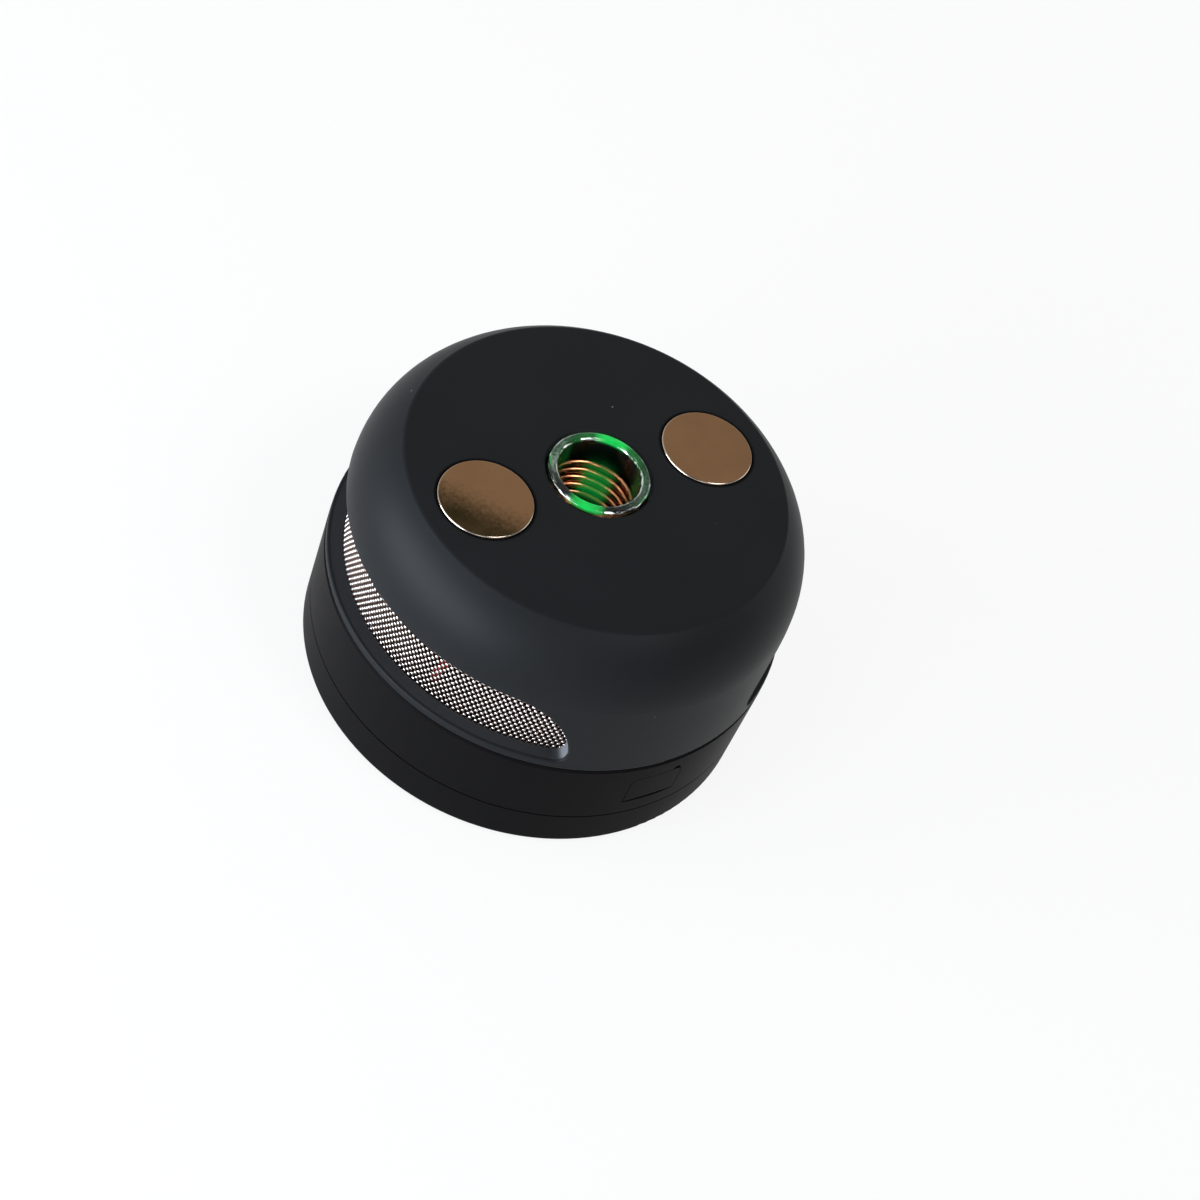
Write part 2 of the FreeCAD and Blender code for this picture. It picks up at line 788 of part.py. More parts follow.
def shell_cavity():
    """The room inside the top shell: straight bore, round shoulder and flat ceiling."""
    body = new_body("shell_cavity")
    sketch = new_sketch(body)
    low, high = at.shell_bottom - PAST, at.roof_bottom
    radius = dim.shoulder_radius - dim.shoulder_wall
    middle_x = at.shell_bore - radius
    flat = Vector(at.top_flat_radius.value, high.value, 0)
    drop = math.sqrt(radius.value ** 2 - (flat.x - middle_x.value) ** 2)
    centre = Vector(middle_x.value, high.value - drop, 0)
    foot = Vector(at.shell_bore.value, low.value, 0)
    tangent = Vector(at.shell_bore.value, centre.y, 0)
    circle = Part.Circle(centre, UP, radius.value)
    bottom_line = Part.LineSegment(Vector(0, low.value, 0), foot)
    wall_line = Part.LineSegment(foot, tangent)
    shoulder = Part.ArcOfCircle(circle, 0, math.atan2(drop, flat.x - centre.x))
    top_line = Part.LineSegment(flat, Vector(0, high.value, 0))
    axis_line = Part.LineSegment(Vector(0, high.value, 0), Vector(0, low.value, 0))
    items = list(sketch.addGeometry([bottom_line, wall_line, shoulder, top_line, axis_line], False))
    bottom, wall, arc, top, axis = items
    sketch.addConstraint(Sketcher.Constraint("Coincident", bottom, 2, wall, 1))
    sketch.addConstraint(Sketcher.Constraint("Tangent", wall, 2, arc, 1))
    sketch.addConstraint(Sketcher.Constraint("Coincident", arc, 2, top, 1))
    sketch.addConstraint(Sketcher.Constraint("Coincident", top, 2, axis, 1))
    sketch.addConstraint(Sketcher.Constraint("Coincident", axis, 2, bottom, 1))
    sketch.addConstraint(Sketcher.Constraint("Vertical", wall))
    hold(sketch, bottom, 1, 0, low)
    hold(sketch, wall, 1, at.shell_bore, low)
    hold(sketch, top, 1, at.top_flat_radius, high)
    hold(sketch, axis, 1, 0, high)
    hold_value(sketch, Sketcher.Constraint("Radius", arc, radius.value), radius)
    revolve(body, sketch)
    return body


def vent_slot():
    """A cutter for the vent on +X: a slot over the sill with quarter-round ends, narrower inside."""
    start, reach = at.mesh_inside - PAST, at.body_radius + PAST
    slope = dim.slot_narrowing / (at.body_radius - at.mesh_outside)
    narrow = dim.slot_height - slope * (at.body_radius - start)
    wide = dim.slot_height + slope * PAST
    middle = new_body("slot_middle")
    feature = revolve(middle, draw(new_sketch(middle), [
        (start, at.slot_floor), (reach, at.slot_floor),
        (reach, at.slot_floor + wide), (start, at.slot_floor + narrow)]))
    feature.Midplane = True
    feature.setExpression("Angle", (dim.slot_arc_angle * 2).text)
    ends = []
    for side in SIDES:
        end = doc.addObject("Part::Cone", "slot_end")
        end.setExpression("Radius1", narrow.text)
        end.setExpression("Radius2", wide.text)
        end.setExpression("Height", (reach - start).text)
        end.Angle = FULL_TURN / 2
        end = rounded(end, dim.slot_corner_round, is_sloping_side)
        place(end, 0, -start, at.slot_floor, FreeCAD.Rotation(ACROSS, 90))
        ends.append(turned(end, dim.slot_arc_angle * side + 90))
    return join(middle, *ends)


def is_sloping_side(edge):
    """Whether a straight edge of a half cone runs from one of its ends to the other."""
    return isinstance(edge.Curve, Part.Line) and edge.BoundBox.ZLength > PAST


def is_slot_mouth(edge):
    """Whether an edge of the shell runs round the mouth of a vent slot."""
    points = edge.discretize(5)
    low, high = at.slot_floor.value - SAME_PLACE, at.slot_top.value + SAME_PLACE
    inside = all(low < point.z < high for point in points)
    return inside and all(math.hypot(point.x, point.y) > at.shell_bore.value + PAST for point in points)


def top_shell():
    """Upper housing, with vents, well hole, magnet pockets and four screw posts inside."""
    posts = [cylinder(dim.shell_boss_radius, at.top - at.deck_top, x, y, at.deck_top)
             for x, y in corners(dim.shell_screw_x, at.shell_screw_y)]
    cup_radius = dim.magnet_radius + dim.magnet_clearance + dim.magnet_cup_wall
    cup_bottom = at.magnet_bottom - dim.magnet_pad
    cups = [cylinder(cup_radius, at.top - cup_bottom, at.magnet_x * side, 0, cup_bottom) for side in SIDES]
    room = cut(shell_cavity(), *posts, *cups)
    slot = vent_slot()
    outside = rounded(cut(shell_outside(), room, turned(slot, 0), turned(slot, FULL_TURN / 2)),
                      dim.slot_edge_round, is_slot_mouth)
    hole_radius = dim.glass_radius + dim.well_clearance
    hole = cylinder(hole_radius, dim.roof_thickness + 2 * PAST, z=at.roof_bottom - PAST)
    countersink = doc.addObject("Part::Cone", "countersink")
    countersink.setExpression("Radius1", hole_radius.text)
    countersink.setExpression("Radius2", (hole_radius + dim.well_chamfer).text)
    countersink.setExpression("Height", dim.well_chamfer.text)
    place(countersink, z=at.top - dim.well_chamfer)
    pockets = [cylinder(dim.magnet_radius + dim.magnet_clearance, at.top - at.magnet_bottom + PAST,
                        at.magnet_x * side, 0, at.magnet_bottom) for side in SIDES]
    pilots = [screw_hole(x, y, at.deck_top - PAST, dim.screw_length + PAST)
              for x, y in corners(dim.shell_screw_x, at.shell_screw_y)]
    return named("top_shell", cut(outside, hole, countersink, *pockets, *pilots))


def lower_ring():
    """Middle ring with the deck across its top, hanging posts and the port's recess."""
    body = turned_body("ring_profile", [
        (0, at.deck_bottom),
        (at.ring_bore, at.deck_bottom),
        (at.ring_bore, at.low_seam + dim.tongue_height + dim.tongue_clearance),
        (at.ring_bore + dim.tongue_thickness + dim.tongue_clearance,
         at.low_seam + dim.tongue_height + dim.tongue_clearance),
        (at.ring_bore + dim.tongue_thickness + dim.tongue_clearance, at.low_seam + dim.seam_gap),
        (at.body_radius, at.low_seam + dim.seam_gap),
        (at.body_radius, at.deck_top - dim.ring_edge_chamfer),
        (at.body_radius - dim.ring_edge_chamfer, at.deck_top),
        (at.tongue_outside, at.deck_top),
        (at.tongue_outside, at.deck_top + dim.tongue_height),
        (at.tongue_inside, at.deck_top + dim.tongue_height),
        (at.tongue_inside, at.deck_top),
        (0, at.deck_top),
    ])
    cover_places = corners(dim.cover_screw_x, at.cover_screw_y)
    cover_posts = [cylinder(dim.ring_boss_radius, at.deck_bottom - at.boss_bottom + dim.deck_thickness / 2,
                            x, y, at.boss_bottom) for x, y in cover_places]
    charge_posts = [cylinder(dim.charge_post_radius, at.deck_bottom - at.charge_board_top
                             + dim.deck_thickness / 2, x, at.charge_post_y, at.charge_board_top)
                    for x in (dim.charge_post_x, -dim.charge_post_x)]
    standoffs = [cylinder(dim.standoff_radius, dim.standoff_height + dim.deck_thickness / 2, x, y,
                          at.deck_top - dim.deck_thickness / 2) for x, y in standoff_places()]
    deck_span = dim.deck_thickness + 2 * PAST
    holes = [screw_hole(x, y, at.boss_bottom - PAST, dim.screw_length + PAST) for x, y in cover_places]
    holes += [screw_hole(x, y, at.deck_bottom - PAST, deck_span)
              for x, y in corners(dim.shell_screw_x, at.shell_screw_y)]
    holes += [screw_hole(x, y, at.deck_bottom - PAST, deck_span) for x, y in seat_screw_places()]
    small_span = dim.small_screw_length + PAST
    holes += [screw_hole(x, at.charge_post_y, at.charge_board_top - PAST, small_span, small=True)
              for x in (dim.charge_post_x, -dim.charge_post_x)]
    holes += [screw_hole(x, y, at.board_bottom - dim.small_screw_length, small_span, small=True)
              for x, y in standoff_places()]
    holes += [screw_hole(x, y, at.deck_bottom - PAST, deck_span, small=True)
              for x, y in fan_screw_places()]
    holes += [cylinder(dim.lead_radius + dim.lead_hole_clearance, deck_span, x, y, at.deck_bottom - PAST)
              for x, y in ((at.lead_x, at.lead_y), (-at.lead_x, -at.lead_y))]
    ring = join(body, *cover_posts, *charge_posts, *standoffs)
    return named("lower_ring", cut(ring, *holes, *port_cuts()))


def is_upper_port_corner(edge):
    """Whether an edge runs front to back along one of the port's two upper corners."""
    return is_straight_along(edge, ALONG) and edge.Vertexes[0].Z > at.port_middle.value


def port_cuts():
    """The flap's recess in the ring, its pin holes, a fingernail notch and the socket's opening."""
    width = dim.port_width + dim.port_gap * 2
    bottom = at.port_bottom - dim.port_hinge_room
    height = dim.port_height + dim.port_hinge_room + dim.port_gap
    recess = box(width, dim.port_recess + PAST, height, -width / 2, -(at.body_radius + PAST), bottom)
    recess = rounded(recess, dim.port_corner_round + dim.port_gap, is_upper_port_corner)
    pin_span = dim.port_width + (dim.port_pin_length + dim.port_gap) * 2
    pins = lying(dim.port_pin_radius + dim.port_pin_clearance, pin_span, 0, at.port_hinge_y,
                 at.port_hinge_z)
    notch_x = dim.port_width / 2 - dim.port_notch_inset
    notch = cylinder(dim.port_notch_radius, dim.port_recess + PAST, notch_x, at.port_back,
                     at.port_bottom + dim.port_height, FreeCAD.Rotation(ACROSS, 90))
    opening_width = dim.usb_width + dim.usb_clearance * 2
    opening_height = dim.usb_height + dim.usb_clearance * 2
    opening = centred_box(opening_width, dim.ring_wall * 2, opening_height, 0, at.port_back,
                          at.port_middle - opening_height / 2)
    return [recess, pins, notch, opening]


def base_cover():
    """Bottom dish with a tongue that enters the ring, four bosses and four foot recesses."""
    tongue_radius = at.ring_bore + dim.tongue_thickness
    body = turned_body("cover_profile", [
        (0, at.body_bottom),
        (at.body_radius, at.body_bottom),
        (at.body_radius, at.low_seam),
        (tongue_radius, at.low_seam),
        (tongue_radius, at.low_seam + dim.tongue_height),
        (at.ring_bore, at.low_seam + dim.tongue_height),
        (at.ring_bore, at.floor_top),
        (0, at.floor_top),
    ])
    round_rims(body, dim.base_edge_round, (at.body_radius, at.body_bottom))
    places = corners(dim.cover_screw_x, at.cover_screw_y)
    bosses = [cylinder(dim.cover_boss_radius, at.boss_bottom - at.body_bottom - dim.foot_recess, x, y,
                       at.body_bottom + dim.foot_recess) for x, y in places]
    recesses = [cylinder(dim.foot_radius + dim.foot_clearance, dim.foot_recess + PAST, x, y,
                         at.body_bottom - PAST) for x, y in places]
    heads = [cylinder(dim.screw_head_radius + dim.head_clearance, dim.screw_head_height + PAST, x, y,
                      at.body_bottom + dim.foot_recess - PAST) for x, y in places]
    shanks = [screw_hole(x, y, at.body_bottom, at.boss_bottom) for x, y in places]
    return named("base_cover", cut(join(body, *bosses), *recesses, *heads, *shanks))


def rubber_feet():
    """Four soft round feet, which also hide the cover's screws."""
    height = dim.foot_proud + dim.foot_recess
    feet = [cylinder(dim.foot_radius, height, x, y)
            for x, y in corners(dim.cover_screw_x, at.cover_screw_y)]
    return named("rubber_feet", group(*feet))


def cover_screws():
    head_seat = at.body_bottom + dim.foot_recess + dim.screw_head_height
    places = corners(dim.cover_screw_x, at.cover_screw_y)
    return named("cover_screws", group(*[screw(x, y, head_seat) for x, y in places]))


def shell_screws():
    """Screws from under the deck into the top shell's posts."""
    places = corners(dim.shell_screw_x, at.shell_screw_y)
    return named("shell_screws", group(*[screw(x, y, at.deck_bottom) for x, y in places]))


def seat_screw_places():
    """Two places under the seat's wall, over the valleys between the cells."""
    return [(dim.seat_screw_x, at.seat_screw_y), (-dim.seat_screw_x, -at.seat_screw_y)]


def seat_screws():
    return named("seat_screws", group(*[screw(x, y, at.deck_bottom) for x, y in seat_screw_places()]))


def vent_mesh(label, angle):
    """A curved strip of metal mesh, bonded behind a slot, as a thin band with a grid of openings."""
    body = new_body("mesh_band_" + label)
    low, high = at.slot_floor - dim.mesh_rim, at.slot_top + dim.mesh_rim
    sketch = draw(new_sketch(body), [(at.mesh_inside, low), (at.mesh_outside, low),
                                     (at.mesh_outside, high), (at.mesh_inside, high)])
    feature = revolve(body, sketch)
    feature.Midplane = True
    end_angle = dim.slot_arc_angle + arc_sine(dim.slot_height / at.body_radius) + dim.mesh_end_angle
    feature.setExpression("Angle", (end_angle * 2).text)
    bar_angle = dim.mesh_bar / at.mesh_outside * math.degrees(1)
    column = (end_angle * 2 - bar_angle) / MESH_COLUMNS
    row = (high - low - dim.mesh_bar) / MESH_ROWS
    width = at.mesh_outside * (column - bar_angle) * math.radians(1)
    openings = []
    for across in range(MESH_COLUMNS):
        for up in range(MESH_ROWS):
            opening = box(dim.mesh_thickness + 2 * PAST, width, row - dim.mesh_bar,
                          at.mesh_inside - PAST, -width / 2, low + dim.mesh_bar + row * up)
            openings.append(turned(opening, column * (across + 0.5) + bar_angle / 2 - end_angle))
    return named(label, turned(cut(body, *openings), angle))


def magnet(label, side):
    """Plated disc magnet that stands a little out of the top face."""
    body = new_body(label)
    pad(body, draw_circle(new_sketch(body, "XY_Plane"), dim.magnet_radius), dim.magnet_thickness)
    round_rims(body, dim.magnet_edge_round, (dim.magnet_radius, 0),
               (dim.magnet_radius, dim.magnet_thickness))
    return place(body, at.magnet_x * side, 0, at.magnet_bottom)


def glass_tube():
    """Clear tube that lines the well, with a fire-polished rim."""
    inside = dim.glass_radius - dim.glass_wall
    body = turned_body("glass_tube", [(inside, at.glass_bottom), (dim.glass_radius, at.glass_bottom),
                                      (dim.glass_radius, at.glass_top), (inside, at.glass_top)])
    round_rims(body, dim.glass_rim_round, (dim.glass_radius, at.glass_top), (inside, at.glass_top))
    round_rims(body, dim.glass_foot_round, (dim.glass_radius, at.glass_bottom), (inside, at.glass_bottom))
    return body


def light_ring():
    """Clear silicone ring that the glass stands on and the lamps shine through."""
    inside = dim.glass_radius - dim.light_ring_width
    return named("light_ring", tube(dim.glass_radius, inside, dim.light_ring_thickness, at.ledge))


def tube_seat():
    """Stepped seat on the deck: glass collar, lamp trough and the trigger's guide."""
    guide = dim.plunger_radius + dim.plunger_clearance
    return turned_body("seat_profile", [
        (dim.seat_bore, at.deck_top),
        (at.seat_radius, at.deck_top),
        (at.seat_radius, at.seat_top),
        (at.seat_hole, at.seat_top),
        (at.seat_hole, at.ledge),
        (at.led_outside, at.ledge),
        (at.led_outside, at.led_floor),
        (at.led_inside, at.led_floor),
        (at.led_inside, at.well_floor),
        (guide, at.well_floor),
        (guide, at.guide_bottom),
        (dim.seat_bore, at.guide_bottom),
    ])


def drilled_seat():
    pilots = [screw_hole(x, y, at.deck_top - PAST, dim.screw_length - dim.deck_thickness + PAST)
              for x, y in seat_screw_places()]
    return named("tube_seat", cut(tube_seat(), *pilots))


def led_board():
    clearance = dim.led_board_clearance
    return named("led_board", tube(at.led_outside - clearance, at.led_inside + clearance,
                                   dim.led_board_thickness, at.led_floor))


def led_chips():
    """Green lamps under the glass, on a diagonal across the line of the magnets."""
    lamps = []
    for index in range(LEDS):
        lamp = centred_box(dim.led_width, dim.led_length, dim.led_thickness, at.led_middle, 0,
                           at.led_floor + dim.led_board_thickness)
        lamps.append(turned(lamp, dim.led_angle + FULL_TURN / LEDS * index))
    return named("led_chips", group(*lamps))


def trigger_plunger():
    """Hollow button in the floor of the well, with a flange that stops it from below."""
    bore = dim.plunger_radius - dim.plunger_skirt
    rim = dim.plunger_radius + dim.flange_width
    body = turned_body("trigger_plunger", [
        (0, at.well_floor - dim.plunger_head),
        (bore, at.well_floor - dim.plunger_head),
        (bore, at.flange_bottom),
        (rim, at.flange_bottom),
        (rim, at.flange_top),
        (dim.plunger_radius, at.flange_top),
        (dim.plunger_radius, at.well_floor),
        (0, at.well_floor),
    ])
    round_rims(body, dim.plunger_edge_round, (dim.plunger_radius, at.well_floor))
    return body


def trigger_spring():
    """Coil spring between the deck and the underside of the button."""
    wire = dim.spring_wire_radius.value
    clear = wire + dim.spring_gap.value
    bottom = at.deck_top.value + clear
    room = at.well_floor.value - dim.plunger_head.value - clear - bottom
    turns = math.floor(room / dim.spring_pitch.value)
    path = helix_path(helix_places(dim.spring_radius.value, room / turns, turns, bottom))
    print("trigger_spring turns", turns, "least gap", round(least_gap(path, wire), 2))
    return shape_piece("trigger_spring", wire_along(path, wire))


def trigger_switch():
    """Flat switch on the deck, which the button's flange meets at the end of its stroke."""
    body = centred_box(dim.switch_length, dim.switch_width, dim.switch_body_height, dim.switch_offset, 0,
                       at.deck_top)
    button = cylinder(dim.switch_button_radius, dim.switch_height, dim.switch_offset, 0, at.deck_top)
    return named("trigger_switch", join(body, button))


def coil_turns():
    """Turns that fit between the seat and the winding's top, ending half a turn from where they start."""
    wire = dim.wire_radius.value
    room = at.coil_top.value - at.seat_top.value - dim.coil_seat_gap.value - wire
    return math.floor(room / dim.coil_pitch.value - 0.5) + 0.5


def coil_bottom():
    return at.coil_top.value - coil_turns() * dim.coil_pitch.value


def induction_coil():
    """Bare copper winding round the glass, with both ends led out level towards -Y."""
    wire = dim.wire_radius.value
    places = helix_places(at.coil_radius.value, dim.coil_pitch.value, coil_turns(), coil_bottom())
    level = Vector(0, -1, 0)
    first, last = places[0][0], places[-1][0]
    places[0] = (first, level * -1)
    places[-1] = (last, level)
    reach = dim.coil_lead.value
    lead_in = Part.LineSegment(first + level * reach, first).toShape()
    lead_out = Part.LineSegment(last, last + level * reach).toShape()
    path = [lead_in] + helix_path(places) + [lead_out]
    print("induction_coil turns", coil_turns(), "least gap", round(least_gap(path, wire), 2))
    return shape_piece("induction_coil", wire_along(path, wire))


def coil_sleeve():
    """Dark insulating sleeve round the winding, notched for the winding's two ends."""
    height = at.roof_bottom - dim.sleeve_roof_gap - at.seat_top
    sleeve = tube(at.sleeve_outside, at.sleeve_bore, height, at.seat_top)
    width = (dim.wire_radius + dim.sleeve_notch_clearance) * 2
    low_end, high_end = coil_bottom(), at.coil_top
    low_height = as_size(low_end) + width / 2 - at.seat_top
    reach = at.sleeve_outside + PAST
    low_notch = box(width, reach, low_height + PAST,
                    at.coil_radius - width / 2, -reach, at.seat_top - PAST)
    high_notch = box(width, reach, width, -(at.coil_radius + width / 2), -reach, high_end - width / 2)
    return named("coil_sleeve", cut(sleeve, low_notch, high_notch))


def coil_terminals():
    """Two copper posts on the board, of different heights, that hold the winding's ends."""
    posts = []
    for side, end in ((1, as_size(coil_bottom())), (-1, at.coil_top)):
        posts.append(box(dim.terminal_width, dim.terminal_thickness, end + dim.wire_radius - at.board_top,
                         at.coil_radius * side - dim.terminal_width / 2,
                         -(dim.coil_lead + dim.terminal_thickness), at.board_top))
    return named("coil_terminals", group(*posts))


def standoff_places():
    return [(dim.standoff_front, 0), (dim.standoff_side_x, dim.standoff_side_y),
            (dim.standoff_side_x, -dim.standoff_side_y)]


def driver_board():
    """Power board on three standoffs, round the seat and clear of the fan."""
    disc = cylinder(at.board_radius, dim.board_thickness, z=at.board_bottom)
    blank = box(at.board_left + at.board_radius, at.board_half_width * 2, dim.board_thickness,
                -at.board_left, -at.board_half_width, at.board_bottom)
    hole = cylinder(at.seat_radius + dim.board_hole_clearance, dim.board_thickness + 2 * PAST,
                    z=at.board_bottom - PAST)
    holes = [screw_hole(x, y, at.board_bottom - PAST, dim.board_thickness + 2 * PAST, small=True)
             for x, y in standoff_places()]
    return named("driver_board", cut(shared(disc, blank), hole, *holes))


def board_screws():
    screws = [screw(x, y, at.board_top, small=True, upward=False) for x, y in standoff_places()]
    return named("board_screws", group(*screws))


def capacitors():
    blocks = []
    for index in range(CAPACITORS):
        y = dim.capacitor_pitch * (index - (CAPACITORS - 1) / 2)
        block = centred_box(dim.capacitor_width, dim.capacitor_length, dim.capacitor_height,
                            dim.capacitor_x, y, at.board_top)
        top = at.board_top + dim.capacitor_height
        blocks.append(rounded(block, dim.capacitor_edge_round,
                              lambda edge: min(v.Z for v in edge.Vertexes) > top.value - SAME_PLACE))
    return named("capacitors", group(*blocks))


def chokes():
    """Two wound ring chokes lying on the board."""
    rings = []
    for side in SIDES:
        ring = doc.addObject("Part::Torus", "choke_ring")
        ring.setExpression("Radius1", dim.choke_ring_radius.text)
        ring.setExpression("Radius2", dim.choke_core_radius.text)
        place(ring, at.choke_reach, 0, at.board_top + dim.choke_core_radius + dim.bond_gap)
        rings.append(turned(ring, dim.choke_angle * side))
    return named("chokes", group(*rings))


def mosfets():
    blocks = [centred_box(dim.mosfet_length, dim.mosfet_width, dim.mosfet_height,
                          dim.mosfet_left + dim.mosfet_pitch * index, dim.mosfet_y + dim.mosfet_width / 2,
                          at.board_top) for index in range(MOSFETS)]
    return named("mosfets", group(*blocks))


def heat_sink():
    """Finned aluminium block behind the power transistors."""
    left = dim.mosfet_left - dim.mosfet_length / 2 - dim.sink_margin
    length = dim.mosfet_length + dim.mosfet_pitch * (MOSFETS - 1) + dim.sink_margin * 2
    front = dim.mosfet_y + dim.mosfet_width
    block = box(length, dim.sink_depth, dim.sink_height, left, front, at.board_top)
    middle = left + length / 2
    slots = []
    for index in range(SINK_SLOTS):
        x = middle + dim.sink_slot_pitch * (index - (SINK_SLOTS - 1) / 2) - dim.sink_slot_width / 2
        slots.append(box(dim.sink_slot_width, dim.sink_depth, dim.sink_height + 2 * PAST, x,
                         front + dim.sink_back, at.board_top - PAST))
    return named("heat_sink", cut(block, *slots))


def control_chip():
    return named("control_chip", centred_box(dim.chip_length, dim.chip_length, dim.chip_thickness,
                                             dim.chip_x, dim.chip_y, at.board_top))


def fan_screw_places():
    reach = at.fan_screw_reach
    return [(at.fan_x + reach, reach), (at.fan_x - reach, -reach)]


def fan_housing():
    """Square blower case on the deck, open at the top and towards the vent on -X."""
    block = box(dim.fan_size, dim.fan_size, dim.fan_height,
                at.fan_x - at.fan_half, -at.fan_half, at.deck_top)
    room = cylinder(dim.fan_cavity_radius, dim.fan_height, at.fan_x, 0, at.fan_floor_top)
    outlet = box(at.fan_half + PAST, dim.fan_outlet_left + dim.fan_outlet_right, dim.fan_height,
                 at.fan_x - at.fan_half - PAST, -dim.fan_outlet_left, at.fan_floor_top)
    holes = [screw_hole(x, y, at.deck_top - PAST, dim.fan_height + 2 * PAST, small=True)
             for x, y in fan_screw_places()]
    return named("fan_housing", cut(block, room, outlet, *holes))


def fan_lid():
    plate = box(dim.fan_size, dim.fan_size, dim.fan_lid_thickness, at.fan_x - at.fan_half, -at.fan_half,
                at.fan_top)
    inlet = cylinder(dim.fan_inlet_radius, dim.fan_lid_thickness + 2 * PAST,
                     at.fan_x, 0, at.fan_top - PAST)
    holes = [screw_hole(x, y, at.fan_top - PAST, dim.fan_lid_thickness + 2 * PAST, small=True)
             for x, y in fan_screw_places()]
    return named("fan_lid", cut(plate, inlet, *holes))


def fan_screws():
    """Long screws through the blower's lid and case into the deck."""
    top = at.fan_top + dim.fan_lid_thickness
    length = top - at.deck_bottom
    screws = []
    for x, y in fan_screw_places():
        head = cylinder(dim.small_screw_head_radius, dim.small_screw_head_height, x, y, top)
        screws.append(join(head, cylinder(dim.small_screw_radius, length, x, y, at.deck_bottom)))
    return named("fan_screws", group(*screws))


def fan_shaft():
    """Fixed steel pin that the rotor turns on."""
    height = at.rotor_bottom + at.rotor_height - at.fan_floor_top
    return named("fan_shaft", cylinder(dim.fan_shaft_radius, height, at.fan_x, 0, at.fan_floor_top))


def fan_rotor():
    """Blower wheel: plate, hub, a ring of straight vanes and a bore that runs on the pin."""
    body = new_body("fan_rotor")
    pad(body, draw_circle(new_sketch(body, "XY_Plane"), dim.rotor_radius), dim.rotor_plate)
    pad(body, draw_circle(new_sketch(body, "XY_Plane"), dim.rotor_hub_radius), at.rotor_height)
    half = dim.rotor_vane_thickness / 2
    start = dim.rotor_hub_radius - dim.rotor_vane_overlap
    reach = dim.rotor_radius - dim.rotor_vane_overlap
    vane = pad(body, draw(new_sketch(body, "XY_Plane"), [(start, -half), (reach, -half), (reach, half),
                                                         (start, half)]), at.rotor_height)
    pattern = body.newObject("PartDesign::PolarPattern", "vanes")
    pattern.Originals = [vane]
    axis = next(feature for feature in body.Origin.OriginFeatures if feature.Role == "Z_Axis")
    pattern.Axis = (axis, [""])
    pattern.Angle = FULL_TURN
    pattern.Occurrences = FAN_VANES
    body.Tip = pattern
    bore = body.newObject("PartDesign::Pocket", "bore")
    bore.Profile = draw_circle(new_sketch(body, "XY_Plane", at.rotor_height),
                               dim.fan_shaft_radius + dim.fan_bearing_clearance)
    bore.setExpression("Length", at.rotor_height.text)
    body.Tip = bore
    return place(body, at.fan_x, 0, at.rotor_bottom)


def cell_places():
    """The cells' middles across Y."""
    return [at.cell_pitch * (index - (CELLS - 1) / 2) for index in range(CELLS)]


def battery_cells():
    cells = []
    for y in cell_places():
        cell = lying(dim.cell_radius, dim.cell_length, 0, y, at.cell_middle)
        cells.append(rounded(cell, dim.cell_end_round, lambda edge: isinstance(edge.Curve, Part.Circle)))
    return named("battery_cells", group(*cells))


def battery_cradle():
    """Tray under the cells, with a round trough for each."""
    length = dim.cell_length - dim.cradle_margin * 2
    width = (at.pack_half_width + dim.cradle_rim) * 2
    block = box(length, width, dim.cradle_height, -length / 2, -width / 2, at.floor_top)
    troughs = [lying(dim.cell_radius + dim.cradle_clearance, dim.cell_length, 0, y, at.cell_middle)
               for y in cell_places()]
    return named("battery_cradle", cut(block, *troughs))


def cell_links():
    """Metal straps across the cells' ends: one link and one single tab at each end."""
    straps = []
    half = dim.link_half_width
    for side in SIDES:
        face = at.cell_half * side if side > 0 else -(at.cell_half + dim.link_thickness)
        low = at.cell_middle - half
        tab_y = at.cell_pitch * side - half
        straps.append(box(dim.link_thickness, half * 2, half * 2, face, tab_y, low))
        link_y = -(at.cell_pitch + half) if side > 0 else -half
        straps.append(box(dim.link_thickness, at.cell_pitch + half * 2, half * 2, face, link_y, low))
    return named("cell_links", group(*straps))


def power_leads():
    """Two wires from the end tabs, up through the deck to the driver board."""
    radius = dim.lead_radius.value
    x, y = at.lead_x.value, at.lead_y.value
    low = at.cell_middle.value
    under_board = at.board_bottom.value - dim.bond_gap.value
    straight = Part.LineSegment(Vector(x, y, low), Vector(x, y, under_board)).toShape()
    level = at.board_top.value + radius + dim.bond_gap.value
    bend = dim.lead_bend.value
    end_x = -at.board_left.value + dim.lead_landing.value
    rise = Part.LineSegment(Vector(-x, -y, low), Vector(-x, -y, level - bend)).toShape()
    turn = arc_from(Vector(-x, -y, level - bend), UP, Vector(-x + bend, -y, level))
    run = Part.LineSegment(Vector(-x + bend, -y, level), Vector(end_x, -y, level)).toShape()
    wires = Part.makeCompound([wire_along([straight], radius), wire_along([rise, turn, run], radius)])
    return shape_piece("power_leads", wires)


def charge_board():
    """Small board under the socket, held by two posts from the deck."""
    half = dim.charge_board_width / 2
    outer = leg(at.ring_bore - dim.pack_clearance, half)
    inner = at.pack_half_width + dim.charge_board_margin
    board = box(half * 2, outer - inner, dim.charge_board_thickness, -half, -outer,
                at.charge_board_top - dim.charge_board_thickness)
    holes = [screw_hole(x, at.charge_post_y, at.charge_board_top - dim.charge_board_thickness - PAST,
                        dim.charge_board_thickness + 2 * PAST, small=True)
             for x in (dim.charge_post_x, -dim.charge_post_x)]
    return named("charge_board", cut(board, *holes))


def charge_screws():
    seat = at.charge_board_top - dim.charge_board_thickness
    places = (dim.charge_post_x, -dim.charge_post_x)
    return named("charge_screws", group(*[screw(x, at.charge_post_y, seat, small=True) for x in places]))


